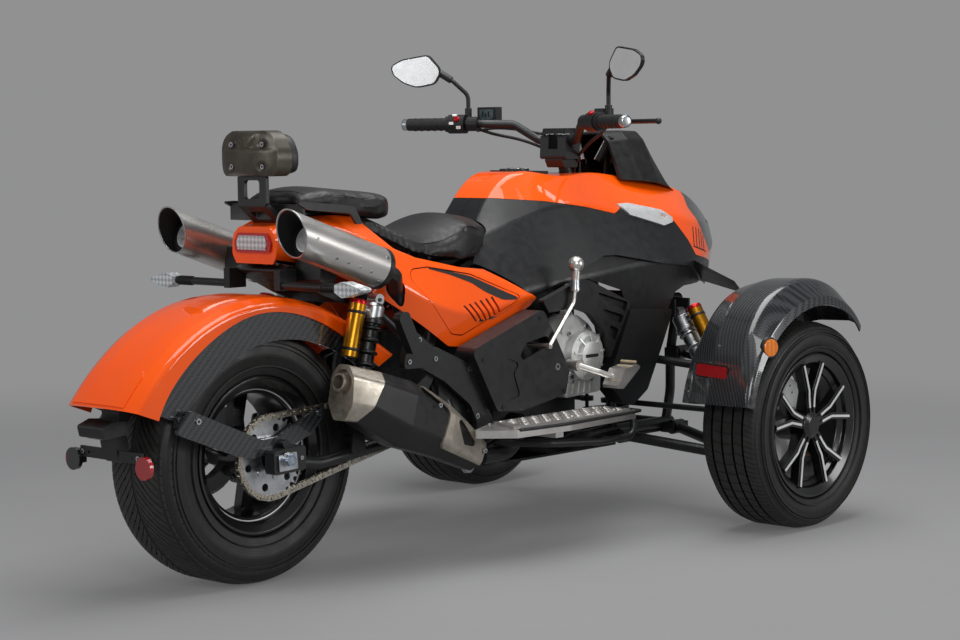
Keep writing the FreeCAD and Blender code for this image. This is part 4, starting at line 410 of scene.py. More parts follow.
def rim_enamel(name, centre, bright):
    """Gloss black casting, polished where bright says so from radius and side distance."""
    made, tree, shader = finish_of(name, Coat_Weight=0.5, Coat_Roughness=0.1)
    mask = bright(tree, *around_axle(tree, centre))
    two_colours(tree, shader, mask, 0.08, ("#08080a", "#101012"), ("#e4e5e6", "#f4f4f4"))
    two_finishes(tree, shader, mask, "Metallic", 0.0, 0.45)
    two_finishes(tree, shader, mask, "Roughness", 0.28, 0.36)
    emboss(tree, shader, speckle(tree, 0.004, 1.0), 0.00003)
    return made


def front_bright(tree, radius, aside):
    """The spokes' ridges, 2.5 mm or more above the cast face, the brake disc and the lip."""
    face = out_of(tree, "ShaderNodeMapRange", {"Value": radius, "From Min": 0.07, "From Max": 0.16,
                                               "To Min": 0.0715, "To Max": 0.0775})
    out = calc(tree, "SUBTRACT", aside, abs(FRONT_AXLES["right"].y))
    ridge = calc(tree, "MULTIPLY", calc(tree, "GREATER_THAN", out, face),
                 between(tree, radius, 0.046, 0.162))
    disc = calc(tree, "MULTIPLY", between(tree, out, -0.024, -0.0165),
                calc(tree, "LESS_THAN", radius, 0.116))
    lip = calc(tree, "GREATER_THAN", radius, 0.187)
    return calc(tree, "MAXIMUM", calc(tree, "MAXIMUM", ridge, disc), lip)


def rear_bright(tree, radius, aside):
    """A fine line inside the rim's lip, and the disc on the left."""
    disc = calc(tree, "MULTIPLY", calc(tree, "GREATER_THAN", aside, 0.108),
                between(tree, radius, 0.04, 0.113))
    return calc(tree, "MAXIMUM", between(tree, radius, 0.147, 0.1495), disc)


paint_node(rim_enamel("front_rim_enamel", FRONT_AXLES["right"], front_bright),
           "front_rim_right", "front_rim_left")
paint_node(rim_enamel("rear_rim_enamel", REAR_AXLE, rear_bright), "rear_rim")

# ---- Tyres ----
# Moulded rubber: a smooth sidewall with raised rings, a crown with its blocks standing over groove
# floors. The groove floors are painted near black, painted shade, and the blocks and rings take a
# lighter copy of the rubber, painted light on them. The rear tread runs in arrows, the front one
# in ribs cut by fine sipes.
FRONT_R, REAR_R = FRONT_AXLES["right"].z, REAR_AXLE.z
FRONT_HALF, REAR_HALF = 0.0905, 0.098  # half widths, metres
FRONT_PITCHES, REAR_PITCHES = 62, 46  # tread patterns round a tyre
BLOCK_DEEP = 0.002  # how far a block's foot lies in the crown
ARROW_IN, ARROW_LONG, ARROW_END = 0.006, 0.089, 0.095  # metres from the middle line
ARROW_SWEEP, ARROW_CURVE, ARROW_LAG = 2.6, 0.8, 0.25  # sweep and the left half's lag, in pitches
RING_SIDES = 96


def rubber_of(name, centre, crown):
    """Tyre rubber painted darker in the grooves, where the radius passes crown: painted shade."""
    made, tree, shader = finish_of(name, Roughness=0.7)
    radius, _ = around_axle(tree, centre)
    mask = calc(tree, "GREATER_THAN", radius, crown)
    # Past the crown's radius, on the groove floors, near black: painted shade.
    two_colours(tree, shader, mask, 0.02, ("#0c0c0b", "#181716"), ("#040404", "#080808"))
    vary(tree, shader, speckle(tree, 0.03), "Roughness", 0.42, 0.56)
    rings = calc(tree, "SINE", calc(tree, "MULTIPLY", radius, math.tau / 0.006))
    height = calc(tree, "ADD", calc(tree, "MULTIPLY", rings, 0.3), speckle(tree, 0.0015))
    emboss(tree, shader, height, 0.00012)
    return made


# A lighter copy of the tyre rubber for the raised tread blocks and sidewall rings: painted light on
# them.
lit_block_rubber = coat("tread_block_rubber", (0.02, "#1c1b1a", "#2a2927"), (0.03, 0.5, 0.66),
                    (0.0015, 0.0001), Roughness=0.6)
paint_node(rubber_of("front_tyre_rubber", FRONT_AXLES["right"], FRONT_R - 0.012),
           "front_tyre_right", "front_tyre_left")
paint_node(rubber_of("rear_tyre_rubber", REAR_AXLE, REAR_R - 0.014), "rear_tyre")

wheel_tree, given, result = new_tree("round_the_axle", Count="Int", Centre="Vector",
                                     Finish="Material")
turn = calc(wheel_tree, "MULTIPLY", out_of(wheel_tree, "GeometryNodeInputIndex"),
            calc(wheel_tree, "DIVIDE", math.tau, given["Count"]))
points = out_of(wheel_tree, "GeometryNodePoints", {"Count": given["Count"]})
spread = out_of(wheel_tree, "GeometryNodeInstanceOnPoints",
                {"Points": points, "Instance": given["Geometry"],
                 "Rotation": out_of(wheel_tree, "ShaderNodeCombineXYZ", {"Y": turn})})
for kind, links in (("RealizeInstances", {}), ("Transform", {"Translation": given["Centre"]}),
                    ("SetMaterial", {"Material": given["Finish"]})):
    spread = out_of(wheel_tree, "GeometryNode" + kind, {"Geometry": spread, **links})
wheel_tree.links.new(spread, result["Geometry"])


def round_axle(name, bm, count, centre, body):
    """Repeats blocks that are modelled about the origin evenly round a wheel's axle."""
    run_tree(name, mesh_of(name, bm), wheel_tree, body, Count=count, Centre=centre,
             Finish=lit_block_rubber)


def crown_at(y, radius, half):
    """Radius of a tyre's crown at a distance from its middle, in metres."""
    y = abs(y)
    rows = [(0, radius), (half * 0.55, radius), (half - 0.016, radius - 0.0064),
            (half - 0.006, radius - 0.021), (half - 0.002, radius - 0.034)]
    for (a, ra), (b, rb) in zip(rows, rows[1:]):
        if y <= b:
            return ra + (rb - ra) * (y - a) / (b - a)
    return rows[-1][1]


def slab(bm, top, low):
    """Closed shell between two grids of points, rows by columns."""
    top, low = ([[bm.verts.new(p) for p in row] for row in grid] for grid in (top, low))
    rows, columns = len(top), len(top[0])
    for i in range(rows - 1):
        for j in range(columns - 1):
            bm.faces.new((top[i][j], top[i][j + 1], top[i + 1][j + 1], top[i + 1][j]))
            bm.faces.new((low[i][j], low[i + 1][j], low[i + 1][j + 1], low[i][j + 1]))
    rim = ([(0, j) for j in range(columns)] + [(i, columns - 1) for i in range(1, rows)]
           + [(rows - 1, j) for j in range(columns - 2, -1, -1)]
           + [(i, 0) for i in range(rows - 2, 0, -1)])
    for (i, j), (k, m) in zip(rim, rim[1:] + rim[:1]):
        bm.faces.new((top[i][j], low[i][j], low[k][m], top[k][m]))


def tread_block(bm, edges, radius, half, proud):
    """Block over a tyre's crown between two edges, each rows of (Y, turn in radians)."""
    def grid(lift):
        return [[Vector((0, y, 0)) + Vector((math.cos(a), 0, math.sin(a)))
                 * (crown_at(y, radius, half) + lift) for y, a in row] for row in edges]
    slab(bm, grid(proud), grid(-BLOCK_DEEP))


arrows = bmesh.new()
for side in SIDES:
    for shares in ((0.0, 0.40), (0.50, 0.86)):
        edges = []
        for share in shares:
            row = []
            for out in (ARROW_IN + ARROW_LONG * k / 8 for k in range(9)):
                sweep = ARROW_SWEEP * (out / ARROW_END) ** ARROW_CURVE
                sweep -= ARROW_LAG if side > 0 else 0
                row.append((side * out, (sweep + share) * math.tau / REAR_PITCHES))
            edges.append(row)
        tread_block(arrows, edges, REAR_R, REAR_HALF, 0.0012)
round_axle("rear_tread", arrows, REAR_PITCHES, REAR_AXLE, "wheel_rear")

for side, axle in FRONT_AXLES.items():
    ribs = bmesh.new()
    for low, high, lean in ((-0.0885, -0.049, 0.5), (-0.043, -0.019, 0.35), (-0.013, 0.013, 0.0),
                            (0.019, 0.043, -0.35), (0.049, 0.0885, -0.5)):
        outer_rib = min(abs(low), abs(high)) > 0.03
        for shares in ((0.0, 0.42), (0.5, 0.92)) if outer_rib else ((0.0, 0.9),):
            ys = [low + (high - low) * k / 5 for k in range(6)]
            edges = [[(y, (share + lean * (abs(y) - abs(low)) / 0.04) * math.tau / FRONT_PITCHES)
                      for y in ys] for share in shares]
            tread_block(ribs, edges, FRONT_R, FRONT_HALF, 0.001)
    round_axle(f"front_tread_{side}", ribs, FRONT_PITCHES, axle, f"wheel_front_{side}")

for name, axle, radius, half, rim, body in (
        ("rear", REAR_AXLE, REAR_R, REAR_HALF, 0.178, "wheel_rear"),
        ("front_right", FRONT_AXLES["right"], FRONT_R, FRONT_HALF, 0.182, "wheel_front_right"),
        ("front_left", FRONT_AXLES["left"], FRONT_R, FRONT_HALF, 0.182, "wheel_front_left")):
    lines = bmesh.new()
    for face in SIDES:
        for share, width in ((0.22, 0.0022), (0.62, 0.0012), (0.70, 0.0012)):
            r = rim + (radius - rim) * share
            flank = half - 0.0003
            loops = [ring(lines, axle + Y * (flank + lift) * face, X, Z, r + away, RING_SIDES)
                     for away, lift in ((-width, -0.003), (-width / 2, 0.0011),
                                        (width / 2, 0.0011), (width, -0.003))]
            for low, high in zip(loops, loops[1:] + loops[:1]):
                band(lines, low, high)
    piece(f"{name}_sidewall_rings", lines, lit_block_rubber, body)

# ---- Painted bodywork ----
# ABS mouldings in solid orange two-pack enamel under clear lacquer. The nose and the side panels
# have louvres pressed through; their slits are drawn as black strips and sheets, painted shade.
FLANK_OUT = 420  # mm from the middle, clear of every panel: rays start there
LOOK_PAST = 0.24  # where a ray that misses looks for the nearest skin, metres
SUNK, TRIM_PROUD = 0.0006, 0.0008  # how far draped trim goes into the skin and out of it
PANEL_FROM, PANEL_TO, PANEL_HALF = 145.5, 159, 0.088  # raised fender panel: degrees, metres
orange = coat("orange_lacquered_abs", (0.3, "#f45200", "#fa5c00"), (0.05, 0.36, 0.44),
              ((0.006, 1.0), 0.00003), Roughness=0.4, Coat_Weight=1.0, Coat_Roughness=0.025,
              Specular_IOR_Level=0.12)
paint_node(orange, "tank_shell", "tail_cowl", "side_panels", "rear_fender")
black_trim_and_slit_shade = coat("black_trim_and_slit_shade", (0.02, "#050506", "#0b0b0c"), (0.006, 0.4, 0.6),
                  (0.0015, 0.00005), Roughness=0.5)


def surface_of(*objects):
    """Search tree over the faces of these objects."""
    verts, faces = [], []
    for made in objects:
        base = len(verts)
        verts += [v.co.copy() for v in made.data.vertices]
        faces += [[base + i for i in face.vertices] for face in made.data.polygons]
    return BVHTree.FromPolygons(verts, faces)


def drape(bm, surface, starts, ways, proud):
    """Thin shell over a surface, from rows of points outside it and the way each row looks."""
    top, low = [], []
    for row, look in zip(starts, ways):
        hits = [surface.ray_cast(start, look) for start in row]
        hits = [hit if hit[0] else surface.find_nearest(start + look * LOOK_PAST)
                for hit, start in zip(hits, row)]
        outs = [hit[1] if hit[1].dot(look) < 0 else -hit[1] for hit in hits]
        top.append([hit[0] + out * proud for hit, out in zip(hits, outs)])
        low.append([hit[0] - out * SUNK for hit, out in zip(hits, outs)])
    slab(bm, top, low)


def side_strip(bm, surface, side, upper, lower, columns, rows, proud=TRIM_PROUD):
    """Drapes the strip between two side view lines of (X, Z) over one flank."""
    def along(line, t):
        place = t * (len(line) - 1)
        i = min(int(place), len(line) - 2)
        return [a + (b - a) * (place - i) for a, b in zip(line[i], line[i + 1])]
    starts = []
    for r in range(rows + 1):
        ends = [(along(upper, c / columns), along(lower, c / columns)) for c in range(columns + 1)]
        starts.append([at(xa + (xb - xa) * r / rows, FLANK_OUT * side, za + (zb - za) * r / rows)
                       for (xa, za), (xb, zb) in ends])
    drape(bm, surface, starts, [-Y * side] * (rows + 1), proud)


nose_slits, panel_trim_and_slit_shade, raised = bmesh.new(), bmesh.new(), bmesh.new()
nose_side = surface_of(nodes["tank_shell"])
panel_side = surface_of(nodes["side_panels"], nodes["tail_cowl"])
for side in SIDES:
    # Each nose slit is a black strip draped on the skin: painted shade in the slit.
    for (xa, za), (xb, zb) in (((1463, 750), (1441, 700)), ((1484, 747), (1460, 696)),
                               ((1504, 743), (1479, 691)), ((1520, 735), (1497, 686)),
                               ((1532, 722), (1514, 682)), ((1438, 698), (1530, 679))):
        x, z = (4, 0) if abs(xa - xb) < 40 else (0, 3)  # across the slit
        side_strip(nose_slits, nose_side, side, [(xa, za), (xb, zb)],
                   [(xa + x, za + z), (xb + x, zb + z)], 6, 1)
    # The side panels' black swoosh, and six slits joined by a line along their feet; the slits and
    # that line are black for painted shade.
    side_strip(panel_trim_and_slit_shade, panel_side, side,
               [(474, 690), (540, 679), (607, 664), (648, 648), (700, 626), (752, 604)],
               [(474, 688), (540, 671), (607, 648), (648, 624), (700, 602), (744, 600)], 24, 3)
    # The black floor of each slit, just under the skin, is painted shade.
    for i in range(6):  # black floor of each slit, just under the skin
        x = 560 + 20 * i
        corners = []
        for px, pz, step in ((x, 596 + 3 * i, -4), (x + 7, 597 + 3 * i, 4),
                             (x + 47 - 2 * i, 556, 4), (x + 40 - 2 * i, 556, -4)):
            spot = panel_side.ray_cast(at(px + step, FLANK_OUT * side, pz), -Y * side)[0]
            corners.append(Vector((at(px, 0, pz).x, spot.y - 0.0012 * side, pz / 1000)))
        prism(panel_trim_and_slit_shade, corners, -Y * 0.002 * side)
    side_strip(panel_trim_and_slit_shade, panel_side, side, [(604, 557), (660, 563), (728, 590)],
               [(606, 553), (662, 559), (730, 586)], 10, 1)
piece("nose_louvres", nose_slits, black_trim_and_slit_shade)
piece("side_panel_trim", panel_trim_and_slit_shade, black_trim_and_slit_shade)

# The fender's second skin: a raised panel over the crown, lacquered the same.
starts, ways = [], []
for i in range(19):
    c, s = polar(PANEL_FROM + (PANEL_TO - PANEL_FROM) * i / 18)
    out = Vector((c, 0, s))
    half = PANEL_HALF * (1 - 0.12 * max(0, 1 - i / 3))
    starts.append([REAR_AXLE + out * 0.6 + Y * half * (j / 6 - 1) for j in range(13)])
    ways.append(-out)
drape(raised, surface_of(nodes["rear_fender"]), starts, ways, 0.0022)
piece("rear_fender_raised_panel", raised, orange)

# ---- Dark mouldings ----
# Side fairings, leg panels and engine covers are grained grey ABS; grilles, fly screen, undertray,
# switch pods and mirror shells are black polypropylene. A blank plate sits where the badge goes.
BADGE_PROUD = 0.0048
grained = coat("grained_grey_abs", (0.15, "#121315", "#17181a"), (0.02, 0.34, 0.46),
               ((0.0014, 1.0), 0.00006), Roughness=0.4)
paint_node(grained, "side_fairings", "engine_side_covers", "leg_fairings")
black_abs = coat("black_polypropylene", (0.1, "#070708", "#0d0d0e"), (0.02, 0.36, 0.55),
                 ((0.0012, 1.0), 0.00008), Roughness=0.45)
paint_node(black_abs, "radiator_grilles", "instrument_hood", "plate_bracket", "tail_tray",
           "pillion_footrests", "handlebar_controls", "mirrors")
badge_metal = coat("satin_silver_plate", (0.02, "#dcddde", "#ebecec"), (0.005, 0.3, 0.42),
                   (0.002, 0.00002), Metallic=0.6, Roughness=0.35)
flank = surface_of(nodes["side_fairings"], nodes["tank_shell"])
blank, screen_ribs, rib_highlights = bmesh.new(), bmesh.new(), bmesh.new()
for side in SIDES:
    side_strip(blank, flank, side, [(1162, 817), (1204, 818), (1321, 797), (1358, 777)],
               [(1164, 813), (1188, 790), (1310, 758), (1352, 765)], 24, 5, BADGE_PROUD)
    # Two slanting ribs stand behind the fly screen; a silver strip on each rib's inner edge is a
    # painted highlight.
    foot, head = at(1248, 30 * side, 930), at(1262, 62 * side, 992)
    wide = Vector((0, 0.007 * side, -0.003))
    prism(screen_ribs, [foot - wide, head - wide, head + wide, foot + wide], X * 0.012)
    foot, head = foot - X * 0.0005, head - X * 0.0005
    prism(rib_highlights, [foot - wide * 1.3, head - wide * 1.3, head - wide, foot - wide], X * 0.0115)
piece("blank_badge_plates", blank, badge_metal)
screws("engine_cover_screws", both_sides([(560, 470), (628, 352), (852, 372), (764, 556)], 252.5),
       5.5, 3, metal=black_trim_and_slit_shade)
screws("engine_cover_bolt", both_sides([(828, 432)], 250), 9, 5)
screws("footrest_plate_bolts", both_sides([(543, 449), (569, 334)], 219), 7.5, 8)
screws("footrest_bolts", both_sides([(318, 486), (352, 534), (404, 486)], 245), 6, 4)
screws("fairing_screws", both_sides([(1128, 560), (1292, 528)], 226.5), 5, 3, metal=black_trim_and_slit_shade)
piece("fly_screen_ribs", screen_ribs, black_abs)
piece("fly_screen_rib_edges", rib_highlights, badge_metal)

# ---- Carbon mouldings ----
# Fenders, skirts and fender arms: two-by-two twill of carbon tow under clear resin. Tows cross
# at right angles. Their sheen is painted into the colour: each tow is lighter where it passes
# over the other and shades off across its round width, painted highlight and shade.
TOW = 0.005  # width of a tow, metres
TOWS_OFF = 4000.0  # a multiple of four that keeps the count of tows positive
carbon, tree, shader = finish_of("twill_carbon_fibre", Roughness=0.34, Coat_Weight=1.0,
                                 Coat_Roughness=0.04)
x, y, z = xyz(tree)
warp = calc(tree, "DIVIDE", calc(tree, "ADD", x, y), TOW)
weft = calc(tree, "DIVIDE", calc(tree, "SUBTRACT", z, y), TOW)
over = calc(tree, "SUBTRACT", calc(tree, "FLOOR", warp), calc(tree, "FLOOR", weft))
over = calc(tree, "MODULO", calc(tree, "ADD", over, TOWS_OFF), 4.0)
over = calc(tree, "LESS_THAN", over, 1.5)
tow = out_of(tree, "ShaderNodeMix", {0: over, 2: calc(tree, "PINGPONG", weft, 0.5),
                                     3: calc(tree, "PINGPONG", warp, 0.5)})
# Painted sheen and shade: over tows lighter, each tow shaded across its width.
shade = calc(tree, "ADD", calc(tree, "MULTIPLY", over, 0.45), tow)
tree.links.new(tones(tree, shade, "#08090a", "#303337", 0.05, 0.95), shader.inputs["Base Color"])
vary(tree, shader, shade, "Roughness", 0.26, 0.4)
emboss(tree, shader, tow, 0.0002)
paint_node(carbon, "front_fender_right", "front_fender_left", "fender_skirts")
screws("fender_arm_bolts", both_sides([(13, 323), (132, 380), (-222, 396)], 141), 7, 5)

# ---- Exhaust ----
# Upper silencers are brushed stainless cans with slash-cut mouths and a row of rivets; the
# lower one is a black can with a bead-blasted titanium cap and shield.
MUFFLER_REAR, MUFFLER_FRONT = (10, 205, 788), (258, 205, 704)  # ends of a can's axis
MUFFLER_R, LINING_R = 0.048, 0.0449
MOUTH_SIDES = 48
MOUTH_FOOT, MOUTH_TALL, MOUTH_LEAN = at(12, 0, 735), 0.113, 0.026  # the slash cut
CORE_AT = 0.0322  # how far in the core's face lies, metres
brushed = coat("brushed_stainless_steel", ((0.012, 2.0, (0.2, 1, 1)), "#cfccc8", "#dad7d3"),
               ((0.02, 1.0, (0.2, 1, 1)), 0.27, 0.33), ((0.012, 1.0, (0.15, 1, 1)), 0.000003),
               Metallic=0.9, Roughness=0.28)
paint_node(brushed, "upper_mufflers", "control_levers", "footboards")
titanium = coat("satin_titanium_coat", (0.03, "#a79f92", "#c6beb1"), (0.01, 0.3, 0.46),
                (0.003, 0.00005), Metallic=0.9, Roughness=0.38)
paint_node(titanium, "muffler_trim")
heat_black = coat("heatproof_black_enamel", (0.08, "#0a0a0b", "#151516"), (0.02, 0.32, 0.5),
                  (0.003, 0.00005), Roughness=0.4)
paint_node(heat_black, "muffler_body")


def smooth_path(points, steps):
    """Catmull-Rom curve through points."""
    rows = [points[0] * 2 - points[1], *points, points[-1] * 2 - points[-2]]
    path = []
    for a, b, c, d in zip(rows, rows[1:], rows[2:], rows[3:]):
        for t in (i / steps for i in range(steps)):
            path.append(0.5 * (2 * b + (c - a) * t + (2 * a - 5 * b + 4 * c - d) * t * t
                               + (3 * b - 3 * c + d - a) * t ** 3))
    return path + [points[-1]]


def hose(bm, points, radius, sides=10, steps=8):
    """Round cable through points, of one radius in metres."""
    path = smooth_path(points, steps)
    up = (path[1] - path[0]).orthogonal().normalized()
    rings = []
    for i, centre in enumerate(path):
        along = (path[min(i + 1, len(path) - 1)] - path[max(i - 1, 0)]).normalized()
        up = (up - along * up.dot(along)).normalized()
        rings.append(ring(bm, centre, up, along.cross(up), radius, sides))
    tube(bm, rings)


def clamp(value):
    return min(max(value, 0), 1)


def radial(out, up, degrees):
    """Unit vector turned from out towards up."""
    c, s = polar(degrees)
    return out * c + up * s


rivets = []
collars, mouths, linings, core_rings = (bmesh.new() for _ in range(4))
for side in SIDES:
    start, end = (at(x, y * side, z) for x, y, z in (MUFFLER_REAR, MUFFLER_FRONT))
    axis, out = (end - start).normalized(), Y * side
    up = axis.cross(out).normalized()
    up = up if up.z > 0 else -up
    for along, degrees in (*((0.098 + 0.037 * k, -30) for k in range(4)),
                           (0.025, 60), (0.025, 0), (0.2475, 25), (0.2475, -50)):
        face = radial(out, up, degrees)
        rivets.append((start + axis * along + face * MUFFLER_R, face))
    lathe(collars, end - axis * 0.004, axis, [(0, 0.0487), (0.014, 0.0487), (0.016, 0.047)], 40)
    mouth, lining = [], []
    for t in range(MOUTH_SIDES):
        face = radial(out, up, 360 * t / MOUTH_SIDES)
        spot = start + face * (MUFFLER_R - 0.0012)
        height = clamp((spot.z - MOUTH_FOOT.z) / MOUTH_TALL)
        along = (MOUTH_FOOT.x - MOUTH_LEAN * height - spot.x) / axis.x
        mouth.append(spot + axis * along)  # bright wire round the slash-cut mouth
        lining.append([[start + axis * (deep + 0.001) + face * r for deep in (along, CORE_AT)]
                       for r in (LINING_R, LINING_R + 0.0004)])
    hose(mouths, mouth + mouth[:1], 0.0018, 6, 2)
    for near, far in zip(lining, lining[1:] + lining[:1]):  # lining down to the core, near black: painted shade and soot
        slab(linings, [near[0], far[0]], [near[1], far[1]])
    lathe(linings, start + axis * (CORE_AT + 0.0008), axis, [(0, 0.0450), (0.001, 0.0450)], 40)
    for outer, inner in ((0.0298, 0.0270), (0.0178, 0.0160)):
        lathe(core_rings, start + axis * CORE_AT, axis,
              [(0, outer), (0.0012, outer), (0.0012, inner), (0, inner)], 40)
    for k in range(16):
        face = radial(out, up, 360 * k / 16)
        wide = axis.cross(face).normalized() * 0.0009
        base = start + axis * (CORE_AT + 0.0001)
        near, far = base + face * 0.0176, base + face * 0.0272
        prism(core_rings, [near - wide, far - wide, far + wide, near + wide], axis * 0.001)
piece("muffler_collars", collars, black_abs)
piece("muffler_mouth_rims", mouths, zinc)
piece("muffler_linings", linings, shade_and_print_black)
piece("muffler_core_rings", core_rings, badge_metal)
screws("muffler_rivets", rivets, 4, 2.4, socket=0.4)
screws("muffler_shield_screws", [(at(350, -311, 388), -Y), (at(520, -291, 262), -Y)], 5.5, 4)
ball = bmesh.new()
lathe(ball, at(506, -246, 214), Z,
      [(-0.006, 0.009), (0.002, 0.015), (0.012, 0.015), (0.02, 0.009)], 20)
piece("muffler_ball_joint", ball, zinc)

# ---- Shock absorbers ----
# Coil-overs with machined heads and chromed collars: black springs behind, silver ones in front.
# The reservoirs are gold-anodised, each closed by a red cap and held by two black bands.
FRONT_FROM, HEADS_FROM = 0.3, 0.588  # metres along X and Z where the bright parts begin
BAND_R, CAP_R = 0.0208, 0.0205
gold = coat("gold_anodised_aluminium", (0.05, "#c98a22", "#d2932b"), (0.03, 0.26, 0.32),
            ((0.012, 1.0), 0.000003), Metallic=1.0, Roughness=0.25)
paint_node(gold, "shock_reservoirs")
red_alloy = coat("red_anodised_aluminium", (0.006, "#a8141a", "#c9242a"), (0.003, 0.24, 0.38),
                 (0.002, 0.00002), Metallic=0.8, Roughness=0.3)
coil, tree, shader = finish_of("coil_over_parts", Roughness=0.32)
x, _, z = xyz(tree)
bright = calc(tree, "MAXIMUM", calc(tree, "GREATER_THAN", x, FRONT_FROM),
              calc(tree, "GREATER_THAN", z, HEADS_FROM))
two_colours(tree, shader, bright, 0.01, ("#0c0c0d", "#161618"), ("#9c9ea0", "#c8cacc"))
two_finishes(tree, shader, bright, "Metallic", 0.0, 1.0)
emboss(tree, shader, speckle(tree, 0.003), 0.00004)
paint_node(coil, "shock_absorbers")

caps, bands = bmesh.new(), bmesh.new()
for side in SIDES:
    # Each shock absorber's top and foot, and the way its reservoir hangs.
    for top, foot, hang in (
            (at(300, 156 * side, 626), at(220, 156 * side, 330), (-0.97, 0, 0.25)),
            (at(1368, 206 * side, 528), at(1368, 398 * side, 214), (0, 0.85 * side, 0.52))):
        axis = (foot - top).normalized()
        start = top + axis * 0.014 + Vector(hang) * 0.052
        lathe(caps, start - axis * 0.006, axis,
              [(0, 0.012), (0.002, CAP_R - 0.002), (0.007, CAP_R), (0.012, CAP_R)], 28)
        for along in (0.022, 0.108):
            lathe(bands, start + axis * along, axis,
                  [(0, BAND_R - 0.0005), (0.001, BAND_R), (0.006, BAND_R),
                   (0.007, BAND_R - 0.0005)], 28)
piece("reservoir_caps", caps, red_alloy)
piece("reservoir_bands", bands, black_trim_and_slit_shade)

# ---- Lamps and reflectors ----
# Injection-moulded polycarbonate: a smoked cover on the nose over four lens units, clear diamonds
# on the turn signals, red in the tail. Reflectors are prismatic acrylic in black bezels.
PRISMS_PER_METRE, DIAMONDS_PER_METRE = 320.0, 110.0
smoked = coat("smoked_polycarbonate", (0.2, "#0e1013", "#1a1d21"), (0.05, 0.05, 0.1),
              (0.02, 0.00002), Roughness=0.08, Coat_Weight=1.0)
paint_node(smoked, "headlamp")
lens_glass = coat("lens_glass", (0.01, "#aab4bf", "#d9e1e8"), (0.004, 0.02, 0.06),
                  (0.004, 0.00004), Roughness=0.03, Coat_Weight=1.0)
clear, tree, shader = finish_of("clear_polycarbonate", Roughness=0.06, IOR=1.585,
                                Transmission_Weight=0.35)
turned_45 = out_of(tree, "ShaderNodeMapping", {"Vector": here(tree),
                                               "Rotation": (math.radians(45), 0, 0)})
# The diamonds' facets are painted light and dark in turn: painted reflection.
facets = add(tree, "ShaderNodeTexChecker", {"Vector": turned_45, "Scale": DIAMONDS_PER_METRE})
tree.links.new(tones(tree, facets.outputs["Fac"], "#b9bec2", "#eef2f4", 0.0, 1.0),
               shader.inputs["Base Color"])
emboss(tree, shader, facets.outputs["Fac"], 0.0006)
paint_node(clear, "turn_signals")


def prismatic(name, near, far):
    """Acrylic moulded in small prisms; returns it, its tree, shader and colour."""
    made, tree, shader = finish_of(name, Roughness=0.12, Coat_Weight=1.0)
    cells = add(tree, "ShaderNodeTexVoronoi", {"Vector": here(tree), "Scale": PRISMS_PER_METRE,
                                               "Randomness": 0.1}).outputs["Distance"]
    # Each prism is painted lighter at its middle and darker at its edges: painted glint and shade.
    colour = tones(tree, cells, near, far, 0.1, 0.6)
    tree.links.new(colour, shader.inputs["Base Color"])
    emboss(tree, shader, cells, 0.0004)
    return made, tree, shader, colour


amber, *_ = prismatic("amber_acrylic", "#ff9a1e", "#d76a04")
red, tree, shader, colour = prismatic("red_acrylic", "#d5202a", "#8d0a10")
back = between(tree, xyz(tree)["Y"], 0.09, 0.144)  # the left one's black housing
two_finishes(tree, shader, back, "Base Color", colour, linear("#0c0c0d"))
paint_node(red, "tail_light", "rear_reflectors")

nose = surface_of(nodes["headlamp"])
lens_rings, lens_eyes, clear_tail, signal_ribs, plate_lamp = (bmesh.new() for _ in range(5))
for side in SIDES:
    for y, z, size in ((34, 742, 0.021), (30, 688, 0.017)):
        spot, face, _, _ = nose.ray_cast(at(1800, y * side, z), -X)
        for bm, sunk, rows in (
                (lens_rings, 0.004,
                 ((0, 1), (0.005, 1), (0.006, 0.94), (0.0045, 0.86), (0.001, 0.8))),
                (lens_eyes, 0.002, ((0, 0.8), (0.003, 0.78), (0.007, 0.55), (0.0085, 0.2)))):
            lathe(bm, spot - face * sunk, face,
                  [(along, size * share) for along, share in rows], 32)
    for k in range(7):
        lathe(signal_ribs, at(72, (222 + 7 * k) * side, 669), Y * side,
              [(0, 0.009), (0.001, 0.0112), (0.004, 0.0112), (0.005, 0.009)], 18)
prism(clear_tail, [at(63.4, y, z) for y, z in ((-46, 748), (46, 748), (50, 764), (42, 780),
                                              (-42, 780), (-50, 764))], -X * 0.003)
prism(plate_lamp, [at(-392, -22, 367.5), at(-346, -22, 371.5), at(-346, 22, 371.5),
                   at(-392, 22, 367.5)], -Z * 0.003)
piece("headlamp_bezels", lens_rings, zinc)
piece("headlamp_lenses", lens_eyes, lens_glass)
piece("tail_light_window", clear_tail, clear)
piece("turn_signal_gaiters", signal_ribs, black_abs)

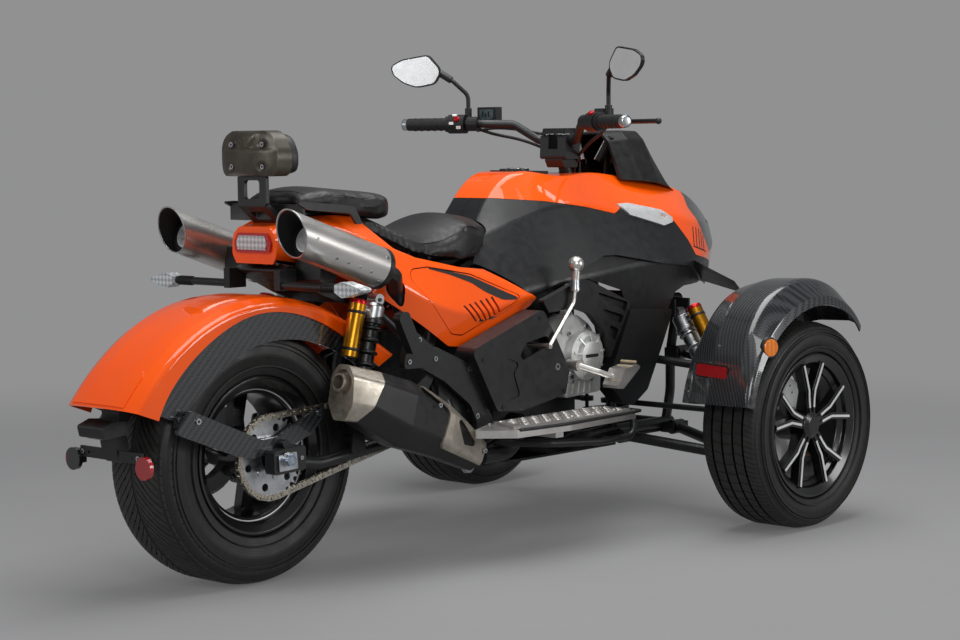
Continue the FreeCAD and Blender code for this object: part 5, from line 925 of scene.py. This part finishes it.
for side, axle in FRONT_AXLES.items():
    y_sign = math.copysign(1, axle.y)
    body = f"knuckle_{side}"
    fender = surface_of(nodes[f"front_fender_{side}"])
    spot = fender.ray_cast(at(900, 528 * y_sign, 416), X)[0] + X * 0.004
    tilt = Vector((0, y_sign, -0.06)).normalized()
    rise = tilt.cross(X).normalized()
    rise = rise if rise.z > 0 else -rise
    outline = ((-1, -0.7), (-0.9, -1), (0.9, -1), (1, -0.7), (1, 0.7), (0.9, 1), (-0.9, 1),
               (-1, 0.7))
    for name, half_w, half_h, deep, finish in (
            ("fender_rear_reflector", 0.046, 0.0145, 0.010, red),
            ("fender_rear_reflector_frame", 0.050, 0.0185, 0.007, black_abs)):
        plate = bmesh.new()
        prism(plate, [spot + tilt * a * half_w + rise * b * half_h for a, b in outline], -X * deep)
        piece(f"{name}_{side}", plate, finish, body)
    centre, face = at(1153, 652 * y_sign, 476), Vector((-0.25, y_sign, 0)).normalized()
    for name, sunk, rows, finish in (
            ("amber_reflector", 0.002, ((0, 0.0215), (0.0098, 0.0215), (0.011, 0.02)), amber),
            ("amber_reflector_frame", 0.004, ((0, 0.026), (0.008, 0.026), (0.01, 0.024)),
             black_abs)):
        disc = bmesh.new()
        lathe(disc, centre - face * sunk, face, rows, 32)
        piece(f"{name}_{side}", disc, finish, body)
screws("plate_bar_screws", [(at(-350, y, 326), -X) for y in (-96, 96)], 6, 6)
piece("plate_lamp_window", plate_lamp, clear)

# ---- Footboards and pedals ----
# Tread plate: rolled aluminium with raised bars laid crosswise in turn, edged with black rubber.
# The brake pedal's pad has ribs of tan rubber; a plated collar holds the gear lever's knob.
BAR_LEAN, BAR_HALF_L, BAR_HALF_W = 35, 0.0065, 0.0016  # degrees, metres
tread_bars, board_edges, pad_ribs, lever_collar = (bmesh.new() for _ in range(4))
for side in SIDES:
    for i in range(20):
        for j in range(5):
            x, y = 585 + 19 * i, 286 + 20 * j
            if y > 372 and x < 620:  # off the plate's cut corner
                continue
            c, s = polar(BAR_LEAN if (i + j) % 2 else -BAR_LEAN)
            along, wide = Vector((c, s, 0)) * BAR_HALF_L, Vector((-s, c, 0)) * BAR_HALF_W
            middle = at(x, y * side, 323.5)
            prism(tread_bars, [middle - along, middle - wide, middle + along, middle + wide],
                  Z * 0.0022)
    hose(board_edges, [at(x, y * side, 318) for x, y in (
        (530, 391), (620, 401), (700, 406), (840, 396), (968, 387), (985, 372), (987, 300))],
        0.0042)
for k in range(5):
    spot, thick = at(950 + 15 * k, -302, 388 + 10.5 * k), Vector((0.005, 0, 0.0035))
    prism(pad_ribs, [spot, spot + thick, spot + thick - Y * 0.048, spot - Y * 0.048],
          Vector((-0.0026, 0, 0.0038)))
lathe(lever_collar, at(883, -262, 612), Vector((0.05, 0, 1)),
      [(0, 0.0085), (0.004, 0.0125), (0.012, 0.0125), (0.014, 0.0115), (0.03, 0.0115),
       (0.034, 0.0095)])
tan_rubber = coat("tan_pedal_rubber", (0.006, "#8a7a5c", "#a8987a"), (0.003, 0.6, 0.8),
                  (0.001, 0.00008), Roughness=0.7)
piece("tread_plate_bars", tread_bars, brushed)
piece("footboard_edges", board_edges, black_trim_and_slit_shade)
piece("brake_pad_ribs", pad_ribs, tan_rubber)
piece("gear_lever_collar", lever_collar, zinc)

# ---- Handlebar ----
# Rubber grips with a spiral rib and alloy bar ends, switch pods with coloured buttons, a small
# display, and the hoses and cables that run down to the column.
BAR = "handlebar_assembly"
BAR_BEND = (1022, 172, 1030)  # where the straight outer bar begins
SWEEP = math.tan(math.radians(21.3))  # back per millimetre outward
GRIP_IN, GRIP_LONG, GRIP_R, SPIRAL_TURNS = 272, 86, 16.6, 2.5
grip_rubber = coat("grip_rubber", (0.01, "#0d0d0e", "#181819"), (0.004, 0.5, 0.75),
                   (0.0015, 0.00008), Roughness=0.6)
paint_node(grip_rubber, "grips")
white_print = coat("white_switch_print", (0.004, "#d8d9d6", "#f0f0ee"), None, (0.002, 0.00002),
                   Roughness=0.5)
display = coat("display_glass", (0.02, "#2e3a3c", "#526064"), None, (0.01, 0.00002),
               Roughness=0.08, Coat_Weight=1.0)
# Light grey base and little metal: most of the mirror's reflection is painted in.
mirror_glass = coat("silvered_mirror_glass", (0.05, "#c3c5c6", "#cbcdce"), (0.02, 0.2, 0.26),
                    ((0.2, 1.0), 0.000001), Metallic=0.25, Roughness=0.22)
paint_node(mirror_glass, "mirror_glasses")
filler_lid = coat("black_filler_lid", (0.01, "#111213", "#1c1d1f"), None, (0.002, 0.00004),
                  Roughness=0.35)
paint_node(filler_lid, "filler_panel")


def on_bar(y, side, away=0.0, turn=0.0):
    """Point away millimetres off the straight outer bar's line, turned from rearward up."""
    along = Vector((-SWEEP, side, 0)).normalized()
    way = radial(Vector((-1, -SWEEP * side, 0)).normalized(), Z, turn)
    line = at(BAR_BEND[0] - SWEEP * (y - BAR_BEND[1]), y * side, BAR_BEND[2])
    return line + way * away / 1000, way, along


spiral, bar_ends, buttons, marks, screen, digits, cables, bar_pad, lock = (
    bmesh.new() for _ in range(9))
for side in SIDES:
    for start in (0, 180):
        spots = [on_bar(GRIP_IN + GRIP_LONG * t, side, GRIP_R, start + 360 * SPIRAL_TURNS * t)[0]
                 for t in (k / 60 for k in range(61))]
        hose(spiral, spots, 0.0011, 6, 2)
    end, _, along = on_bar(381, side)
    lathe(bar_ends, end - along * 0.0125, along,
          [(0, 0.0156), (0.011, 0.0156), (0.014, 0.013), (0.015, 0.009)])
spot, way, _ = on_bar(232, 1, 24, 30)
lathe(buttons, spot, way, [(0, 0.008), (0.004, 0.008), (0.006, 0.006)], 20)
spot, way, _ = on_bar(236, -1, 24.5, 60)
lathe(buttons, spot, way, [(0, 0.009), (0.003, 0.009), (0.005, 0.007)], 20)
for turn, y in ((-20, 226), (5, 244), (62, 240)):
    spot, way, along = on_bar(y, 1, 24.6, turn)
    wide, rise = along * 0.006, way.cross(along).normalized() * 0.0035
    prism(marks, [spot - wide - rise, spot + wide - rise, spot + wide + rise, spot - wide + rise],
          way * 0.003)
prism(screen, [at(1061.6, y, z) for y, z in ((168, 1042), (218, 1042), (218, 1068), (168, 1068))],
      -X * 0.0012)
for k, tall in enumerate((0.014, 0.009, 0.014)):
    foot, wide, rise = at(1060.2, 182 + 11 * k, 1049), Y * 0.005, Z * tall
    prism(digits, [foot, foot + wide, foot + wide + rise, foot + rise], -X * 0.0004)
for radius, points in (
        (0.0042, ((1052, 232, 1022), (1082, 190, 1004), (1120, 120, 986), (1150, 60, 960),
                  (1168, 26, 930), (1176, 12, 900))),
        (0.0042, ((1052, -232, 1022), (1084, -180, 1000), (1126, -110, 978), (1156, -52, 950),
                  (1172, -20, 920), (1178, -8, 900))),
        (0.0036, ((1046, 214, 1012), (1070, 168, 1018), (1096, 116, 1014), (1128, 70, 1004),
                  (1150, 40, 996))),
        (0.0036, ((1064, -206, 1046), (1100, -170, 1058), (1132, -110, 1046), (1156, -60, 1010),
                  (1170, -30, 960), (1178, -12, 910)))):
    hose(cables, [at(*point) for point in points], radius)
prism(bar_pad, [at(x, -40, z) for x, z in ((1108, 1002), (1160, 1002), (1156, 1016), (1114, 1016))],
      Y * 0.08)
lathe(lock, at(955, 0, 913.5), Z, [(0, 0.018), (0.002, 0.018), (0.003, 0.016)], 32)
piece("grip_spirals", spiral, grip_rubber, BAR)
piece("bar_ends", bar_ends, zinc, BAR)
piece("red_buttons", buttons, red_alloy, BAR)
piece("switch_faces", marks, white_print, BAR)
piece("display_window", screen, display, BAR)
piece("display_bars", digits, shade_and_print_black, BAR)
screws("bar_clamp_screws", [(at(x, y, 1000), Z) for y in (-28, 28) for x in (1118, 1150)],
       5.5, 8, BAR)
screws("reservoir_lid_screws", [(at(1060 + x, -219, 1064), Z) for x in (-12, 12)], 3, 2, BAR)
piece("handlebar_cables", cables, grip_rubber, BAR)
piece("bar_clamp_cap", bar_pad, black_abs, BAR)
piece("ignition_lock", lock, zinc)
screws("filler_lid_screws", [(at(955 + 30 * math.cos(a), 30 * math.sin(a), 914.5), Z)
                             for a in (0.5, 2.1, 3.7, 5.3)], 2.6, 1.6)

# ---- Seats ----
# Moulded foam under stitched vinyl: the saddle is scooped for the rider, the pillion pad is
# crowned. A piped seam follows each edge. The backrest's shell has a crowned, stepped cover.
CLOTH_PRESSURE, CLOTH_FRAMES = 4.0, 20
VOXEL, EASE_ROUNDS = 0.005, 24
SADDLE_HALF, SADDLE_FROM, SADDLE_RISE = 0.14, 0.70, 0.10  # metres, as are the next two rows
SADDLE_DROP, SCOOP_DEEP, SCOOP_LONG, SCOOP_AT = 0.034, 0.016, 0.085, at(520, 0, 0).x
PILLION_HALF, PILLION_FROM, PILLION_RISE, PILLION_DROP = 0.115, 0.82, 0.05, 0.014
PAD_SQUEEZE = 0.55  # how thick the pad stays before its shell, as a share
CROWN_LOW, CROWN_HIGH, CROWN_ROWS, CROWN_COLUMNS = 914.5, 1016.5, 28, 30
CROWN_MIDDLE, CROWN_HALF_H, CROWN_HALF_W = 965, 51, 94.5  # millimetres, as are the next rows
CROWN_TOP_IN, CROWN_FOOT_IN, CROWN_ROUND = 27, 5, 10  # how far the sides draw in
CROWN_DEEP, DIMPLE_R, DIMPLE_DEEP = 13, 11, 6
STEP_FROM, STEP_TALL, STEP_DEEP = 972, 6, 5.5
VEE_FROM, VEE_TALL, VEE_SLOPE, VEE_HALF = 968, 5, 1.15, 40
CROWN_SCREWS = [(y, z) for y in (-52, 52) for z in (936, 986)]
vinyl = coat("seat_vinyl", (0.03, "#0c0c0e", "#151517"), (0.01, 0.4, 0.58),
             ((0.0025, 1.0), 0.00012), Roughness=0.5)
bronze = coat("bronze_grey_abs", (0.05, "#3a362e", "#4c473d"), (0.01, 0.28, 0.4),
              (0.0018, 0.00003), Roughness=0.34, Metallic=0.35)
paint_node(bronze, "backrest_shell")


def bake(made):
    """Applies every modifier to an object's mesh."""
    graph = bpy.context.evaluated_depsgraph_get()
    mesh = bpy.data.meshes.new_from_object(made.evaluated_get(graph))
    made.modifiers.clear()
    made.data = mesh


def cushion(name, node, smaller, cap):
    """Soft copy of a node's solid: remeshed, eased, blown up as cloth and smoothed."""
    bm = bmesh.new()
    bm.from_mesh(nodes[node].data)
    bmesh.ops.remove_doubles(bm, verts=bm.verts[:], dist=0.0002)
    made = bpy.data.objects.new(name, mesh_of(name, bm))
    bpy.context.scene.collection.objects.link(made)
    remesh = made.modifiers.new("remesh", "REMESH")
    remesh.mode, remesh.voxel_size = "VOXEL", VOXEL
    ease = made.modifiers.new("ease", "SMOOTH")
    ease.factor, ease.iterations = 0.5, EASE_ROUNDS
    bake(made)
    for vert in made.data.vertices:
        vert.co -= vert.normal * smaller
    before = [v.co.copy() for v in made.data.vertices]
    cloth = made.modifiers.new("cloth", "CLOTH")
    cloth.settings.use_pressure = True
    cloth.settings.uniform_pressure_force = CLOTH_PRESSURE
    cloth.settings.effector_weights.gravity = 0.0
    scene = bpy.context.scene
    for step in range(1, CLOTH_FRAMES + 1):
        scene.frame_set(step)
    bake(made)
    scene.frame_set(1)
    for vert, old in zip(made.data.vertices, before):
        move = vert.co - old
        if move.length > cap:
            vert.co = old + move.normalized() * cap
    subdivide = made.modifiers.new("subdivide", "SUBSURF")
    subdivide.levels = subdivide.render_levels = 1
    bake(made)
    made.data.materials.clear()
    made.data.materials.append(vinyl)
    made.data.shade_smooth()
    return made


def seam(bm, surface, points):
    """Piped seam laid on a pad's skin under points above it."""
    hits = [surface.ray_cast(point, -Z)[0] for point in points]
    hose(bm, [hit for hit in hits if hit is not None], 0.0011, 6, 3)


saddle = cushion("saddle", "rider_seat", 0.004, 0.008)
pillion = cushion("pillion_pad", "pillion_seat", 0.003, 0.006)
rest = cushion("backrest_cushion", "backrest_pad", 0.003, 0.006)
for vert in saddle.data.vertices:  # crowned across, with a deeper scoop for the rider
    edge = min(abs(vert.co.y) / SADDLE_HALF, 1) ** 2
    scoop = math.exp(-((vert.co.x - SCOOP_AT) / SCOOP_LONG) ** 2)
    share = clamp((vert.co.z - SADDLE_FROM) / SADDLE_RISE)
    vert.co.z -= share * (SADDLE_DROP * edge + SCOOP_DEEP * scoop)
for vert in pillion.data.vertices:
    edge = min(abs(vert.co.y) / PILLION_HALF, 1) ** 2
    vert.co.z -= clamp((vert.co.z - PILLION_FROM) / PILLION_RISE) * PILLION_DROP * edge
shell_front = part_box("backrest_shell")[1].x
for vert in rest.data.vertices:  # the pad is held flat against its shell
    if vert.co.x > shell_front:
        vert.co.x = shell_front + (vert.co.x - shell_front) * PAD_SQUEEZE
for made, node in ((saddle, "rider_seat"), (pillion, "pillion_seat"), (rest, "backrest_pad")):
    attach(made, "root")
    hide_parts(node)
seams, saddle_skin, pillion_skin = bmesh.new(), surface_of(saddle), surface_of(pillion)
for side in SIDES:
    for skin, row in (
            (saddle_skin, ((330, 96), (400, 112), (480, 124), (560, 128), (640, 126), (700, 108),
                           (745, 90))),
            (pillion_skin, ((134, 74), (180, 96), (240, 104), (320, 98), (400, 84), (434, 52)))):
        seam(seams, skin, [at(x, y * side, 960) for x, y in row])
seam(seams, pillion_skin, [at(150, y, 960) for y in range(-80, 81, 16)])
piece("seat_seams", seams, vinyl)

front, back = [], []
for i in range(CROWN_ROWS + 1):
    z = CROWN_LOW + (CROWN_HIGH - CROWN_LOW) * i / CROWN_ROWS
    share = (z - CROWN_MIDDLE) / CROWN_HALF_H  # -1 at the cover's foot, 1 at its top
    drawn_in = CROWN_TOP_IN if share > 0 else CROWN_FOOT_IN
    half = CROWN_HALF_W - drawn_in * abs(share) ** 2.6 - CROWN_ROUND * abs(share) ** 8
    outs = []
    for j in range(CROWN_COLUMNS + 1):
        across = -1 + 2 * j / CROWN_COLUMNS
        y = half * across
        bulge = CROWN_DEEP * max(1 - abs(across) ** 3.5, 0) * max(1 - abs(share) ** 4, 0) ** 0.5
        # The upper half steps back, apart from a V in its middle that stays proud.
        vee = clamp((z - VEE_FROM - abs(y) * VEE_SLOPE) / VEE_TALL) if abs(y) < VEE_HALF else 0
        step = STEP_DEEP * clamp((z - STEP_FROM) / STEP_TALL) * (1 - vee)
        bulge -= step * min(bulge / CROWN_DEEP, 1)
        for screw_y, screw_z in CROWN_SCREWS:
            near = math.hypot(y - screw_y, z - screw_z) / DIMPLE_R
            bulge -= DIMPLE_DEEP * max(0, 1 - near ** 4)
        outs.append((max(bulge, 0.5), y))
    front.append([at(61.5 - bulge, y, z) for bulge, y in outs])
    back.append([at(62.5, y, z) for _, y in outs])
crown = bmesh.new()
slab(crown, front, back)
piece("backrest_crown", crown, bronze)
screws("backrest_screws", [(at(54, y, z), -X) for y, z in CROWN_SCREWS], 6, 4)

# ---- Floor, lights and camera ----
# A grey paper sweep. Far from the trike its paper fades into the backdrop's own even grey, so no
# horizon shows. The largest softbox hangs overhead; three stand by the camera, right and rear.
BACKDROP = "#919192"
FLOOR_R, FADE_START, FADE_END, FLOOR_SIDES = 30.0, 1.5, 4.2, 64  # metres but for the last
CAMERA_AT = (-3.892, -3.783, 1.003)
CAMERA_YAW, CAMERA_PITCH, CAMERA_ROLL = 42.951, -4.817, -0.683  # degrees
CAMERA_LENS, CAMERA_SENSOR = 82.69, 36.0  # millimetres
floor_mesh = bpy.data.meshes.new("studio_floor")
circle = [polar(360 * i / FLOOR_SIDES) for i in range(FLOOR_SIDES)]
floor_mesh.from_pydata([(FLOOR_R * c, FLOOR_R * s, 0) for c, s in circle], [],
                       [range(FLOOR_SIDES)])
floor = bpy.data.objects.new("studio_floor", floor_mesh)
bpy.context.scene.collection.objects.link(floor)
paper = coat("studio_paper", (0.8, "#8e8e8f", "#929293"), None, (0.004, 0.00003), Roughness=0.9)
tree = paper.node_tree
away = add(tree, "ShaderNodeVectorMath", {0: here(tree)}, operation="LENGTH").outputs["Value"]
fade = out_of(tree, "ShaderNodeMapRange", {"Value": away, "From Min": FADE_START,
                                           "From Max": FADE_END, "To Min": 0.3},
              interpolation_type="SMOOTHSTEP")
glow = out_of(tree, "ShaderNodeEmission", {"Color": linear(BACKDROP)})
sweep = out_of(tree, "ShaderNodeMixShader",
               {0: fade, 1: tree.nodes["Principled BSDF"].outputs[0], 2: glow})
tree.links.new(sweep, tree.nodes["Material Output"].inputs["Surface"])
floor_mesh.materials.append(paper)

world = bpy.data.worlds.new("studio_backdrop")
world.use_nodes = True
bpy.context.scene.world = world
tree = world.node_tree
seen = add(tree, "ShaderNodeLightPath").outputs["Is Camera Ray"]
room = out_of(tree, "ShaderNodeBackground", {"Color": linear("#c8cacc"), "Strength": 0.32})
backdrop = out_of(tree, "ShaderNodeBackground", {"Color": linear(BACKDROP)})
wall = out_of(tree, "ShaderNodeMixShader", {0: seen, 1: room, 2: backdrop})
tree.links.new(wall, tree.nodes["World Output"].inputs["Surface"])

for name, place, target, size, power in (
        ("softbox_top", (0.2, -0.5, 3.4), (0, 0, 0.4), (3.6, 2.4), 120),
        ("softbox_camera", (-3.4, -4.6, 2.6), (0, 0, 0.5), (2.2, 1.6), 75),
        ("softbox_right", (2.2, -4.4, 1.6), (0.2, 0, 0.5), (1.6, 1.6), 60),
        ("softbox_rear", (-4.2, 1.6, 1.9), (-0.4, 0, 0.6), (1.4, 1.8), 40)):
    lamp = bpy.data.lights.new(name, "AREA")
    lamp.shape, lamp.size, lamp.size_y, lamp.energy = "RECTANGLE", *size, power
    softbox = bpy.data.objects.new(name, lamp)
    softbox.location = place
    softbox.rotation_euler = (Vector(target) - Vector(place)).to_track_quat("-Z", "Y").to_euler()
    bpy.context.scene.collection.objects.link(softbox)

camera = bpy.data.objects.new("camera", bpy.data.cameras.new("camera"))
camera.data.lens, camera.data.sensor_width = CAMERA_LENS, CAMERA_SENSOR
turn = Euler((math.radians(90 + CAMERA_PITCH), 0, math.radians(CAMERA_YAW - 90))).to_matrix()
camera.rotation_euler = (turn @ Matrix.Rotation(math.radians(CAMERA_ROLL), 3, "Z")).to_euler()
camera.location = CAMERA_AT
bpy.context.scene.collection.objects.link(camera)
bpy.context.scene.camera = camera
bpy.context.scene.view_settings.view_transform = "Standard"
